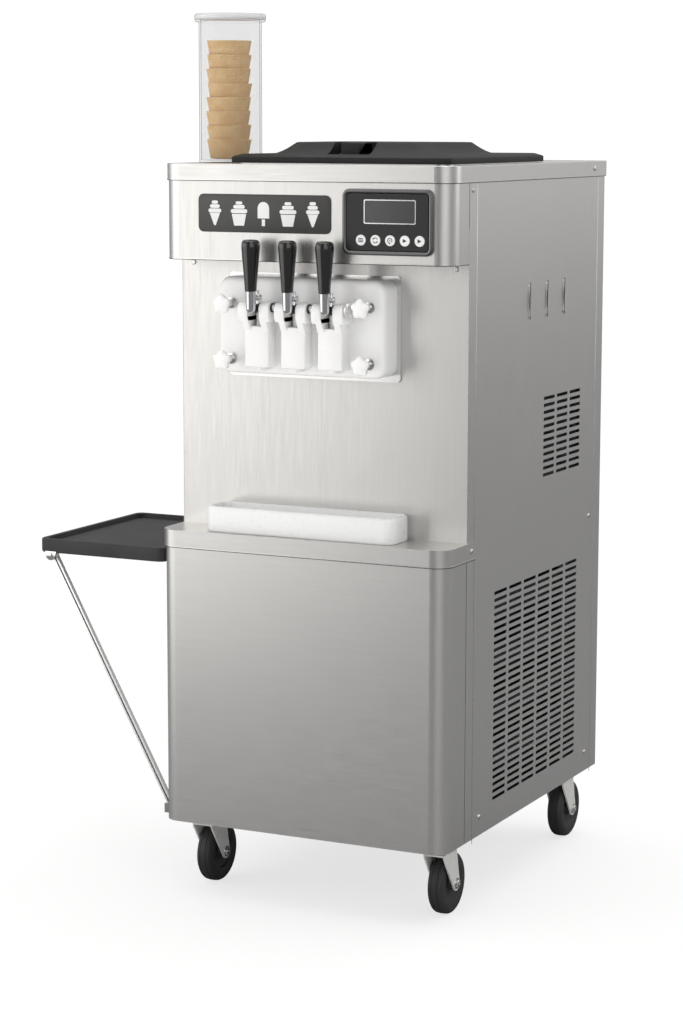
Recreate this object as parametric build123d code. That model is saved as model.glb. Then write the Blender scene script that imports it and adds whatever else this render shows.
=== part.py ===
"""Floor-standing soft-serve ice cream maker: cabinet, dispensing head, side shelf, casters and works.

Design frame, in millimetres: x = 0 is the cabinet's middle, +X to the customer's right; y = 0 is the upper
front panel, which faces -Y; z = 0 is the floor. Before export, everything moves so that the origin is the
bottom centre of the whole machine's box.
"""
from build123d import *
import os
from math import cos, radians, sin, tan

# ---------------------------------------------------------------- driving dimensions
CABINET_WIDTH = 550
WHEEL_RADIUS = 55
CROWN_Z = 2 * WHEEL_RADIUS + 4    # underside of each caster fork's crown
UNDERSIDE_Z = CROWN_Z + 22        # underside of the cabinet, on the caster plates
TOP_Z = 1300                      # top of the cover
REAR_Y = 640                      # outer face of the rear panel
SHEET = 1.5                       # panel thickness
SEAM = 0.5                        # gap between neighbouring panels
HALF = CABINET_WIDTH / 2

POST_DEPTH = 32                   # width of the corner post strips seen from the side
POST_LEG = 26
BASE_THICKNESS = 3

LOWER_FRONT = 87                  # how far the lower front stands out from the upper panel
LOWER_RADIUS = 30
LEDGE_TOP = 662
LEDGE_HEIGHT = 30
LEDGE_OVERHANG = 3

HEADER_FRONT = 70                 # how far the header stands out
HEADER_RADIUS = 33
HEADER_BOTTOM = 1136
COVER_SKIRT = 28
COVER_OVERHANG = 2.5
COVER_TOP_SHEET = 2
COVER_EDGE = 1.5                  # rounding of the cover's top edge

SCREW_SHANK = 4
SCREW_HEAD = 9
SCREW_HEAD_HEIGHT = 2
SCREW_LENGTH = 8
SCREW_CLEARANCE = 0.2

SLOT_HEIGHT = 6
SLOT_PITCH = 12.7
SLOT_BRIDGE = 10                  # solid strip between slot columns
SIDE_FRONT = POST_DEPTH + SEAM    # the side panel's front and back edges
SIDE_BACK = REAR_Y - POST_DEPTH - SEAM
LOWER_VENT = {"y": 124, "z": UNDERSIDE_Z + 49, "length": 58, "rows": 30}
VENT_LENGTH = SIDE_BACK - 65 - LOWER_VENT["y"]
LOWER_VENT["columns"] = int(VENT_LENGTH // (LOWER_VENT["length"] + SLOT_BRIDGE))
UPPER_VENT = {"y": SIDE_BACK - 261.5, "z": 735, "length": 54, "columns": 3, "rows": 12}
REAR_VENT = {"y": -145, "z": 300, "length": 90, "columns": 3, "rows": 20}
LOUVRE_YS = (SIDE_BACK - 336.5, SIDE_BACK - 253.5, SIDE_BACK - 170.5)
LOUVRE_BOTTOM = 1028
LOUVRE_HEIGHT = 60
LOUVRE_WIDTH = 7
LOUVRE_DEPTH = 2

GLAND_X = 170                     # power cord gland in the rear panel
GLAND_Z = 200
GLAND_RADIUS = 12

# dispensing head
HEAD_X = -14
HEAD_Z = 1022
HEAD_WIDTH = 312
HEAD_HEIGHT = 163
HEAD_DEPTH = 52
HEAD_RADIUS = 20
FRAME_MARGIN = 9                  # the steel mounting frame shows this far around the block
FRAME_THICKNESS = 3
VALVE_PITCH = 70
VALVE_WIDTH = 46
VALVE_FRONT = 83
VALVE_BOTTOM = 955
EAR_WIDTH = 59
EAR_FRONT = 96
EAR_TOP = 1067
BEVEL_BOTTOM = 1020
BEVEL_TOP = 1041
FORK_SLOT = 22
FORK_SLOT_BOTTOM = 1026
PLUNGER_RADIUS = 9
PLUNGER_CLEARANCE = 0.05
NOZZLE_WALL = 0.7                 # the outlet collar is this much larger than the plunger
NOZZLE_BOTTOM = 949
STUD_SPACING_X = 264
STUD_SPACING_Z = 96
STUD_RADIUS = 5
STUD_FRONT = 92
KNOB_FRONT = 98
KNOB_THICKNESS = 13
KNOB_RADIUS = 17
KNOB_LOBES = 5

PIVOT_Y = -82
PIVOT_Z = 1058
PIVOT_RADIUS = 5
PIVOT_CLEARANCE = 0.06
HUB_WALL = 2.5                    # metal round the pivot bore in a lever's hub
LEVER_Y = -103
LEVER_RADIUS = 8
LEVER_BOTTOM = 1049
LEVER_SHOULDER = 1086             # where the grip sits on the lever
LEVER_WIDTH = 14
FINGER_REACH = PIVOT_RADIUS + HUB_WALL + PLUNGER_RADIUS + 1.5   # pivot to the finger in the plunger
PLUNGER_Y = PIVOT_Y + FINGER_REACH
FINGER_RADIUS = 3.5
FINGER_PLAY = 1.3
GRIP_LENGTH = 88
GRIP_BOTTOM_RADIUS = 9
GRIP_TOP_RADIUS = 15

# controls on the header
PLATE_X = (-HALF + 73, -HALF + 327)
PLATE_Z = (1184, 1249)
PLATE_THICKNESS = 2.5
BEZEL_X = (HALF - 200, HALF - 34)
BEZEL_Z = (1151, 1261)
BEZEL_RIM = 8
BEZEL_DEPTH = 6
FACE_DEPTH = 4.5
WINDOW_X = (BEZEL_X[0] + 42, BEZEL_X[1] - 32)
WINDOW_Z = (1205, 1242)
WINDOW_RECESS = 1
BUTTON_RADIUS = 9
BUTTON_CLEARANCE = 0.3
BUTTON_PITCH = 27
BUTTON_Z = 1176
BUTTON_PROUD = 1.5
BUTTON_THICKNESS = 3.5
BUTTON_NAMES = ("menu", "mode", "cycle", "start_left", "start_right")

# drip tray on the ledge
DRIP_X = (HEAD_X - HEAD_WIDTH / 2 - 20, HEAD_X + HEAD_WIDTH / 2 + 23)
DRIP_DEPTH = 76
DRIP_HEIGHT = 40
DRIP_RADIUS = 18
DRIP_WALL = 7
DRIP_FLOOR = 5
DRIP_GAP = 1                      # between the tray and the upper panel

# top of the machine
TUBE_RADIUS = 55.5
TUBE_WALL = 3
TUBE_HEIGHT = 258
TUBE_RIM_RADIUS = 62.5
TUBE_RIM_HEIGHT = 14
TUBE_X = -HALF + TUBE_RIM_RADIUS - 1.5
TUBE_Y = 68
LID_X = (TUBE_X + TUBE_RIM_RADIUS + 3.5, HALF - 10)
LID_Y = (-58, 362)
LID_FLANGE = 11
LID_RISE = 24
LID_RADIUS = 28
LID_WALL = 3
LID_DECK_BORDER = 12              # flat flange around the low deck
LID_DECK_RISE = 7
LID_DOME_X = (LID_X[0] + 43, LID_X[1] - 17)    # foot of the dome
LID_DOME_Y = (LID_Y[0] + 12, LID_Y[1] - 117)
LID_DOME_TAPER = 62
LID_DOME_RADIUS = 40
RECESS_WIDTH = 90                 # finger recess in the dome's front slope
RECESS_DEPTH = 26                 # behind the dome's top front edge
RECESS_RIB = 30
HOPPER_FLANGE = 2
HOPPER_DEPTH = 190
HOPPER_WALL = 2
HOPPER_Y = (20, LID_Y[1] - 32)
HOPPER_X = (LID_X[0] + 22, LID_X[1] - 24)
HOPPER_DIVIDER = 12
SPIGOT_RADIUS = 12

# works inside
FRAME_TUBE = 25
FRAME_WALL = 2
CRADLE_Z = 915                    # underside of the rails that carry the cylinders
CYLINDER_CRADLES = (90, 210)
CYLINDER_RADIUS = 52
CYLINDER_WALL = 3
CYLINDER_LENGTH = 262
MOTOR_CRADLES = (CYLINDER_LENGTH + 56, CYLINDER_LENGTH + 108)
CONDENSER_X = (HALF - 69, HALF - 29)
CONDENSER_Y = (135, SIDE_BACK - 87.5)
CONDENSER_TOP = 540
CONDENSER_FINS = 24
FAN_X = HALF - 105
FAN_RADIUS = 150
COMPRESSOR = (-HALF + 165, REAR_Y - 220, 78)    # middle x, middle y, radius
CYLINDER_PITCH = 150
BEATER_SHAFT = 8
BEATER_CLEARANCE = 0.06
MOTOR_LENGTH = 190
MOTOR_RADIUS = 58

# side shelf on the left
SHELF_REACH = 260
SHELF_INNER_X = -HALF - 15
SHELF_OUTER_X = SHELF_INNER_X - SHELF_REACH
SHELF_Y = (-50, 305)
SHELF_TOP = LEDGE_TOP - 42
SHELF_HEIGHT = 21
SHELF_RADIUS = 22
SHELF_RIM = 9
SHELF_RECESS = 8
SHELF_FLOOR = 4
HINGE_X = -HALF - 8
HINGE_Z = SHELF_TOP + 2
HINGE_RADIUS = 5
HINGE_PIN = 2.5
HINGE_CLEARANCE = 0.06
HINGE_YS = (62, 245)
HINGE_WIDTH = 50
STRUT_RADIUS = 4
STRUT_Y = -35
STRUT_TOP = (SHELF_OUTER_X + 23, SHELF_TOP - 30)
STRUT_FOOT = (-HALF - 9, UNDERSIDE_Z + 9)
STRUT_PIN = 3

# casters
WHEEL_WIDTH = 28
WHEEL_X = HALF - 46
AXLE_YS = {"front": 30, "rear": REAR_Y - 48}
TRAIL = 30                        # axle behind the swivel axis
AXLE_RADIUS = 4
AXLE_CLEARANCE = 0.06
FORK_GAP = 34
FORK_SHEET = 3
CASTER_PLATE = (95, 72, 3)
BEARING_RADIUS = 24

# ---------------------------------------------------------------- values worked out from them
LOWER_FRONT_Y = -LOWER_FRONT
HEADER_FRONT_Y = -HEADER_FRONT
PANEL_TOP = TOP_Z - COVER_TOP_SHEET
BLOCK_FRONT = -FRAME_THICKNESS - HEAD_DEPTH
VALVE_XS = {"left": HEAD_X - VALVE_PITCH, "middle": HEAD_X, "right": HEAD_X + VALVE_PITCH}
STUDS = {
    "top_left": (HEAD_X - STUD_SPACING_X / 2, HEAD_Z - 8 + STUD_SPACING_Z / 2),
    "top_right": (HEAD_X + STUD_SPACING_X / 2, HEAD_Z - 8 + STUD_SPACING_Z / 2),
    "bottom_left": (HEAD_X - STUD_SPACING_X / 2, HEAD_Z - 8 - STUD_SPACING_Z / 2),
    "bottom_right": (HEAD_X + STUD_SPACING_X / 2, HEAD_Z - 8 - STUD_SPACING_Z / 2),
}
CYLINDER_Z = HEAD_Z - 2
CYLINDER_XS = {"left": HEAD_X - CYLINDER_PITCH / 2, "right": HEAD_X + CYLINDER_PITCH / 2}
BUTTON_MID = (BEZEL_X[0] + BEZEL_X[1]) / 2 + 6
BUTTON_XS = {name: BUTTON_MID + BUTTON_PITCH * (i - 2) for i, name in enumerate(BUTTON_NAMES)}
FACE_FRONT = HEADER_FRONT_Y - FACE_DEPTH
SIDE_SCREWS = ((SIDE_FRONT + 33, UNDERSIDE_Z + 33), (SIDE_BACK - 28, UNDERSIDE_Z + 37),
               (SIDE_BACK - 24, LEDGE_TOP - 30))
POST_SCREW_Z = TOP_Z - COVER_SKIRT - 13
PANEL_SCREW_X = HALF - 23
PANEL_SCREW_Z = HEADER_BOTTOM - 9
PANEL_SCREWS = ((-PANEL_SCREW_X, PANEL_SCREW_Z), (PANEL_SCREW_X, PANEL_SCREW_Z))
COVER_SCREW = (SIDE_BACK - 25, TOP_Z - COVER_SKIRT / 2)
LEDGE_SCREW = (POST_DEPTH / 2, LEDGE_TOP - LEDGE_HEIGHT / 2)
CASTERS = {
    f"{end}_{side}": (sign * WHEEL_X, axle_y - TRAIL)
    for end, axle_y in AXLE_YS.items()
    for side, sign in (("left", -1), ("right", 1))
}


# ---------------------------------------------------------------- helpers
def block(xs, ys, zs):
    """A box between two x, two y and two z values."""
    size = [abs(pair[1] - pair[0]) for pair in (xs, ys, zs)]
    middle = [(pair[0] + pair[1]) / 2 for pair in (xs, ys, zs)]
    return Pos(*middle) * Box(*size)


def rod_x(radius, x0, x1, y, z):
    return Pos((x0 + x1) / 2, y, z) * Rot(0, 90, 0) * Cylinder(radius, x1 - x0)


def rod_y(radius, y0, y1, x, z):
    return Pos(x, (y0 + y1) / 2, z) * Rot(90, 0, 0) * Cylinder(radius, y1 - y0)


def rod_z(radius, z0, z1, x, y):
    return Pos(x, y, (z0 + z1) / 2) * Cylinder(radius, z1 - z0)


def front_sheet(sketch, y_back, depth):
    """Extrude a sketch drawn in x and z towards the customer, from y_back."""
    return extrude(Plane.XZ.offset(-y_back) * sketch, amount=depth)


def side_sheet(sketch, x, thickness):
    """Extrude a sketch drawn in y and z towards +X, from x."""
    return extrude(Plane.YZ.offset(x) * sketch, amount=thickness)


def span(pair_u, pair_v, radius=0):
    """A rectangle between two u and two v values, with rounded corners when a radius is given."""
    width = pair_u[1] - pair_u[0]
    height = pair_v[1] - pair_v[0]
    middle = Pos((pair_u[0] + pair_u[1]) / 2, (pair_v[0] + pair_v[1]) / 2)
    return middle * (RectangleRounded(width, height, radius) if radius else Rectangle(width, height))


def pierced(outline, holes):
    """A flat face with closed outlines as its holes."""
    return Face(outline.wire(), [hole.wire() for hole in holes])


def plan(half_width, front, back, radius):
    """Plan outline with its two front corners rounded."""
    outline = span((-half_width, half_width), (front, back))
    return fillet(outline.vertices().sort_by(Axis.Y)[:2], radius)


def wrapped_sheet(half_width, front, back, radius, z0, z1):
    """A sheet bent round the front: two rounded corners and two side returns, open at the back."""
    outer = plan(half_width, front, back, radius)
    inner = plan(half_width - SHEET, front + SHEET, back + SHEET, radius - SHEET)
    return Pos(0, 0, z0) * extrude(outer - inner, amount=z1 - z0)


def slot_field(vent):
    """Rounded ventilation slots in columns and rows."""
    step = vent["length"] + SLOT_BRIDGE
    for column in range(vent["columns"]):
        for row in range(vent["rows"]):
            middle_u = vent["y"] + vent["length"] / 2 + column * step
            middle_v = vent["z"] + SLOT_HEIGHT / 2 + row * SLOT_PITCH
            yield Pos(middle_u, middle_v) * SlotOverall(vent["length"], SLOT_HEIGHT)


def screw(at, outward, grip):
    """A domed screw whose head sits on the surface at a point; the shank goes inwards by grip."""
    head = Pos(0, 0, SCREW_HEAD_HEIGHT / 2) * Cylinder(SCREW_HEAD / 2, SCREW_HEAD_HEIGHT)
    head = fillet(head.edges().group_by(Axis.Z)[-1], SCREW_HEAD_HEIGHT * 0.7)
    shank = Pos(0, 0, -grip / 2) * Cylinder(SCREW_SHANK / 2, grip)
    return Plane(origin=at, z_dir=outward) * (head + shank)


def screw_hole(u, v):
    return Pos(u, v) * Circle(SCREW_SHANK / 2 + SCREW_CLEARANCE)


def hexagon_nut(radius, z0, z1, x, y):
    return Pos(x, y, z0) * extrude(RegularPolygon(radius, 6), amount=z1 - z0)


# ---------------------------------------------------------------- cabinet
def base_plate():
    inset = SHEET + SEAM
    outline = plan(HALF - inset, LOWER_FRONT_Y + inset, REAR_Y - inset, LOWER_RADIUS - inset)
    return Pos(0, 0, UNDERSIDE_Z) * extrude(outline, amount=BASE_THICKNESS)


def corner_post(x_sign, front):
    """An L-section upright; its outer leg is the strip seen beside the side panel."""
    outer_y = SHEET if front else REAR_Y
    inner_y = POST_DEPTH if front else REAR_Y - POST_DEPTH
    leg_back = outer_y + SHEET if front else outer_y - SHEET
    side_x = sorted((x_sign * (HALF - SHEET), x_sign * HALF))
    leg_x = sorted((x_sign * (HALF - SHEET), x_sign * (HALF - POST_LEG)))
    post = block(side_x, sorted((outer_y, inner_y)), (UNDERSIDE_Z, PANEL_TOP))
    post += block(leg_x, sorted((outer_y, leg_back)), (UNDERSIDE_Z + BASE_THICKNESS, PANEL_TOP))
    if not front:
        return post
    hole = SCREW_SHANK / 2 + SCREW_CLEARANCE
    for z in (POST_SCREW_Z, LEDGE_SCREW[1]):
        post -= rod_x(hole, *sorted((x_sign * (HALF - 10), x_sign * (HALF + 10))), LEDGE_SCREW[0], z)
    return post - rod_y(hole, 0, POST_DEPTH, x_sign * PANEL_SCREW_X, PANEL_SCREW_Z)


def corner_posts():
    return [corner_post(sign, front) for sign in (-1, 1) for front in (True, False)]


def lower_front_panel():
    top = LEDGE_TOP - SHEET - SEAM
    return wrapped_sheet(HALF, LOWER_FRONT_Y, -SEAM, LOWER_RADIUS, UNDERSIDE_Z, top)


def ledge():
    """Cap over the lower front: top plate up to the upper panel, skirt wrapping past the front posts."""
    half = HALF + LEDGE_OVERHANG
    front = LOWER_FRONT_Y - LEDGE_OVERHANG
    radius = LOWER_RADIUS + LEDGE_OVERHANG
    cap = wrapped_sheet(half, front, POST_DEPTH, radius, LEDGE_TOP - LEDGE_HEIGHT, LEDGE_TOP)
    cap += Pos(0, 0, LEDGE_TOP - SHEET) * extrude(plan(half, front, 0, radius), amount=SHEET)
    return cap - rod_x(SCREW_SHANK / 2 + SCREW_CLEARANCE, -half - 1, half + 1, *LEDGE_SCREW)


def upper_front_panel():
    outline = span((-HALF, HALF), (LEDGE_TOP - LEDGE_HEIGHT, HEADER_BOTTOM + 60))
    mouths = [Pos(x, CYLINDER_Z) * Circle(CYLINDER_RADIUS - CYLINDER_WALL) for x in CYLINDER_XS.values()]
    screws = [screw_hole(*point) for point in PANEL_SCREWS]
    return front_sheet(pierced(outline, mouths + screws), SHEET, SHEET)


def header_panel():
    fascia = wrapped_sheet(HALF, HEADER_FRONT_Y, -SEAM, HEADER_RADIUS, HEADER_BOTTOM, PANEL_TOP)
    floor = plan(HALF, HEADER_FRONT_Y, -SEAM, HEADER_RADIUS)
    return fascia + Pos(0, 0, HEADER_BOTTOM) * extrude(floor, amount=SHEET)


def top_cover():
    half = HALF + COVER_OVERHANG
    front = HEADER_FRONT_Y - COVER_OVERHANG
    back = REAR_Y + COVER_OVERHANG
    radius = HEADER_RADIUS + COVER_OVERHANG
    outer = extrude(plan(half, front, back, radius), amount=COVER_SKIRT)
    inner_plan = plan(half - SHEET, front + SHEET, back - SHEET, radius - SHEET)
    cover = Pos(0, 0, TOP_Z - COVER_SKIRT) * (outer - extrude(inner_plan, amount=COVER_SKIRT - COVER_TOP_SHEET))
    opening = span(HOPPER_X, HOPPER_Y, 10)
    cover -= Pos(0, 0, TOP_Z - COVER_SKIRT) * extrude(offset(opening, 1), amount=2 * COVER_SKIRT)
    cover -= rod_x(SCREW_SHANK / 2 + SCREW_CLEARANCE, -half - 1, half + 1, *COVER_SCREW)
    top_face = cover.faces().sort_by(Axis.Z)[-1]
    return fillet(top_face.outer_wire().edges(), COVER_EDGE)


def side_panel(vents, louvres):
    """The right side panel; the left one is its mirror image with its own vents."""
    outline = span((SIDE_FRONT, SIDE_BACK), (UNDERSIDE_Z, PANEL_TOP))
    holes = [slot for vent in vents for slot in slot_field(vent)]
    holes += [screw_hole(*point) for point in SIDE_SCREWS]
    holes.append(screw_hole(*COVER_SCREW))
    slot_u = LOUVRE_WIDTH / 2
    panel = side_sheet(pierced(outline, holes), HALF - SHEET, SHEET)
    for y in LOUVRE_YS if louvres else ():
        z_span = (LOUVRE_BOTTOM, LOUVRE_BOTTOM + LOUVRE_HEIGHT)
        hood = side_sheet(span((y - slot_u, y + slot_u), z_span, slot_u - 0.1), HALF, LOUVRE_DEPTH)
        hood = chamfer(hood.edges().group_by(Axis.X)[-1], LOUVRE_DEPTH * 0.6)
        panel += hood
        mouth = block((HALF - 2 * SHEET, HALF + LOUVRE_DEPTH / 2), (y, y + LOUVRE_WIDTH),
                      (z_span[0] + LOUVRE_WIDTH, z_span[1] - LOUVRE_WIDTH))
        panel -= mouth
    return panel


def rear_panel():
    """Closes the back between the rear posts, flush with them and below the cover's skirt."""
    reach = HALF - POST_LEG - SEAM
    outline = span((-reach, reach), (UNDERSIDE_Z + BASE_THICKNESS + SEAM, TOP_Z - COVER_SKIRT - SEAM))
    gland = Pos(GLAND_X, GLAND_Z) * Circle(GLAND_RADIUS)
    return front_sheet(pierced(outline, list(slot_field(REAR_VENT)) + [gland]), REAR_Y, SHEET)


def power_gland():
    """Blank gland where the mains lead leaves, flush with the rear panel and clamped by a nut inside."""
    body = rod_y(GLAND_RADIUS, REAR_Y - 22, REAR_Y, GLAND_X, GLAND_Z)
    nut = Pos(GLAND_X, REAR_Y - SHEET, GLAND_Z) * Rot(90, 0, 0) * extrude(RegularPolygon(18, 6), amount=8)
    dimple = rod_y(GLAND_RADIUS - 5, REAR_Y - 3, REAR_Y + 1, GLAND_X, GLAND_Z)
    return body + nut - dimple


def panel_screws():
    screws = []
    for sign in (-1, 1):
        outward = (sign, 0, 0)
        screws += [screw((sign * HALF, y, z), outward, SCREW_LENGTH) for y, z in SIDE_SCREWS]
        screws.append(screw((sign * HALF, LEDGE_SCREW[0], POST_SCREW_Z), outward, SCREW_LENGTH))
        ledge_x = sign * (HALF + LEDGE_OVERHANG)
        screws.append(screw((ledge_x, *LEDGE_SCREW), outward, SCREW_LENGTH + LEDGE_OVERHANG))
        screws.append(screw((sign * (HALF + COVER_OVERHANG), *COVER_SCREW), outward, SCREW_LENGTH))
    screws += [screw((x, 0, z), (0, -1, 0), SCREW_LENGTH) for x, z in PANEL_SCREWS]
    return screws


def box_tube(xs, ys, zs):
    """Square steel tube along the longest side of its box, open at both ends."""
    spans = [list(xs), list(ys), list(zs)]
    long_axis = max(range(3), key=lambda i: abs(spans[i][1] - spans[i][0]))
    bore = [(low + FRAME_WALL, high - FRAME_WALL) for low, high in spans]
    bore[long_axis] = tuple(spans[long_axis])
    return block(xs, ys, zs) - block(*bore)


def inner_frame():
    """Welded subframe: four uprights on the base plate, two ring rails and the cradles of the cylinders."""
    half = FRAME_TUBE / 2
    xs = (-HALF + 34, HALF - 34)
    ys = (60, REAR_Y - 70)
    top = TOP_Z - HOPPER_DEPTH - 12
    frame = Part()
    for x in xs:
        for y in ys:
            frame += box_tube((x - half, x + half), (y, y + FRAME_TUBE), (UNDERSIDE_Z + BASE_THICKNESS, top))
        for z in (top - FRAME_TUBE, CRADLE_Z):
            frame += box_tube((x - half, x + half), (ys[0] + FRAME_TUBE, ys[1]), (z, z + FRAME_TUBE))
    saddles = [(y, CYLINDER_RADIUS) for y in CYLINDER_CRADLES] + [(y, MOTOR_RADIUS) for y in MOTOR_CRADLES]
    for y, radius in saddles:
        rail_y = (y, y + FRAME_TUBE)
        frame += box_tube((xs[0] + half, xs[1] - half), rail_y, (CRADLE_Z, CRADLE_Z + FRAME_TUBE))
        for x in CYLINDER_XS.values():
            saddle = block((x - 30, x + 30), rail_y, (CRADLE_Z + FRAME_TUBE, CYLINDER_Z - radius * 0.7))
            frame += saddle - rod_y(radius + 0.3, y - 1, y + FRAME_TUBE + 1, x, CYLINDER_Z)
    return frame


# ---------------------------------------------------------------- works inside the cabinet
def freezing_cylinder(x):
    z = CYLINDER_Z
    shell = rod_y(CYLINDER_RADIUS, SHEET, CYLINDER_LENGTH, x, z)
    shell += rod_y(CYLINDER_RADIUS + 8, SHEET, SHEET + 4, x, z)
    shell -= rod_y(CYLINDER_RADIUS - CYLINDER_WALL, 0, CYLINDER_LENGTH - 6, x, z)
    return shell - rod_y(BEATER_SHAFT + BEATER_CLEARANCE, 200, CYLINDER_LENGTH + 1, x, z)


def beater(x):
    """Shaft with two scraper blades carried on discs; it turns in the cylinder's rear wall."""
    z = CYLINDER_Z
    reach = CYLINDER_RADIUS - CYLINDER_WALL - 1.5
    body = rod_y(BEATER_SHAFT, 8, CYLINDER_LENGTH + 40, x, z)
    for y in (12, 125, 244):
        body += rod_y(reach - 6, y, y + 4, x, z) - rod_y(reach - 20, y - 1, y + 5, x, z)
        body += block((x - reach + 8, x + reach - 8), (y, y + 4), (z - 5, z + 5))
    for side in (-1, 1):
        body += block(sorted((x + side * (reach - 9), x + side * reach)), (10, 250), (z - 6, z + 6))
    return body


def gear_motor(x):
    z = CYLINDER_Z
    front = CYLINDER_LENGTH + 15
    body = rod_y(MOTOR_RADIUS, front + 30, front + 30 + MOTOR_LENGTH, x, z)
    body += rod_y(MOTOR_RADIUS * 0.7, front, front + 30, x, z)
    body -= rod_y(MOTOR_RADIUS * 0.75, front + 45, front + 10 + MOTOR_LENGTH, x, z)
    for i in range(12):
        turned = Rot(0, 30 * i, 0) * block((MOTOR_RADIUS - 2, MOTOR_RADIUS + 4), (0, 90), (-1.5, 1.5))
        body += Pos(x, front + 30 + MOTOR_LENGTH - 92, z) * turned
    return body - rod_y(BEATER_SHAFT + BEATER_CLEARANCE, front - 1, CYLINDER_LENGTH + 42, x, z)


def compressor():
    """Hermetic compressor: a domed steel can on its mounting foot, with the discharge stub on top."""
    x, y, radius = COMPRESSOR
    foot_z = UNDERSIDE_Z + BASE_THICKNESS
    can_top = foot_z + 3 * radius
    shell = rod_z(radius, foot_z + 14, can_top, x, y)
    shell = fillet(shell.edges().group_by(Axis.Z)[-1], radius / 2)
    shell -= rod_z(radius * 0.76, foot_z + 40, can_top - 50, x, y)
    shell += block((x - radius - 12, x + radius + 12), (y - 50, y + 50), (foot_z, foot_z + 16))
    return shell + rod_z(9, can_top - 20, can_top + 34, x + 30, y)


def fan_middle():
    low = UNDERSIDE_Z + BASE_THICKNESS
    return (CONDENSER_Y[0] + CONDENSER_Y[1]) / 2, (low + CONDENSER_TOP) / 2


def condenser():
    """Finned coil behind the lower vents, with the stub shaft that carries the fan."""
    low = UNDERSIDE_Z + BASE_THICKNESS
    core = block(CONDENSER_X, CONDENSER_Y, (low, CONDENSER_TOP))
    step = (CONDENSER_TOP - low - 40) / CONDENSER_FINS
    fin_x = (CONDENSER_X[0] + 8, CONDENSER_X[1] + 1)
    for i in range(CONDENSER_FINS):
        z = low + 20 + i * step
        core -= block(fin_x, (CONDENSER_Y[0] + 10, CONDENSER_Y[1] - 10), (z, z + step * 0.6))
    y, z = fan_middle()
    core += rod_x(AXLE_RADIUS, FAN_X - 16, CONDENSER_X[0] + 1, y, z)
    return core + rod_x(22, CONDENSER_X[0] - 10, CONDENSER_X[0] + 1, y, z)


def condenser_fan():
    y, z = fan_middle()
    hub = rod_x(32, FAN_X - 14, FAN_X + 14, y, z)
    fan = hub
    for i in range(5):
        blade = Pos(0, 0, 88) * Rot(0, 0, 28) * Box(2.5, 60, 116)
        fan += Pos(FAN_X, y, z) * Rot(72 * i, 0, 0) * blade
    fan = fan & rod_x(FAN_RADIUS, FAN_X - 20, FAN_X + 20, y, z)
    return fan - rod_x(AXLE_RADIUS + AXLE_CLEARANCE, FAN_X - 30, FAN_X + 30, y, z)


# ---------------------------------------------------------------- dispensing head
def head_frame():
    """Steel mounting plate on the upper panel, with the four studs that carry the head block."""
    half_w = HEAD_WIDTH / 2 + FRAME_MARGIN
    half_h = HEAD_HEIGHT / 2 + FRAME_MARGIN
    outline = Pos(HEAD_X, HEAD_Z) * RectangleRounded(2 * half_w, 2 * half_h, 8)
    mouths = [Pos(x, CYLINDER_Z) * Circle(CYLINDER_RADIUS - CYLINDER_WALL) for x in CYLINDER_XS.values()]
    plate = front_sheet(pierced(outline, mouths), 0, FRAME_THICKNESS)
    for x, z in STUDS.values():
        plate += rod_y(STUD_RADIUS, -STUD_FRONT, -FRAME_THICKNESS, x, z)
    return plate


def valve_body(x):
    """One draw valve: square body, bevel, and the two ears that carry the pivot shaft."""
    back = BLOCK_FRONT + 5
    body = block((x - VALVE_WIDTH / 2, x + VALVE_WIDTH / 2), (-VALVE_FRONT, back), (VALVE_BOTTOM, BEVEL_TOP))
    body = fillet(body.edges().filter_by(Axis.Z).group_by(Axis.Y)[0], 3)
    profile = Polyline((-VALVE_FRONT, BEVEL_BOTTOM), (-EAR_FRONT, BEVEL_TOP), (-EAR_FRONT, EAR_TOP),
                       (back, EAR_TOP), (back, BEVEL_BOTTOM), close=True)
    ears = side_sheet(make_face(profile), x - EAR_WIDTH / 2, EAR_WIDTH)
    ears = fillet(ears.edges().filter_by(Axis.X).group_by(Axis.Z)[-1].sort_by(Axis.Y)[0], 10)
    lower = block((x - EAR_WIDTH, x + EAR_WIDTH), (-EAR_FRONT - 1, back), (BEVEL_BOTTOM - 1, BEVEL_TOP))
    trim = lower - block((x - VALVE_WIDTH / 2, x + VALVE_WIDTH / 2), (-EAR_FRONT - 2, back + 1),
                         (BEVEL_BOTTOM - 2, BEVEL_TOP + 1))
    body += ears - trim
    slot = block((x - FORK_SLOT / 2, x + FORK_SLOT / 2), (-EAR_FRONT - 1, BLOCK_FRONT - 0.5),
                 (FORK_SLOT_BOTTOM, EAR_TOP + 1))
    return body - slot


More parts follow.
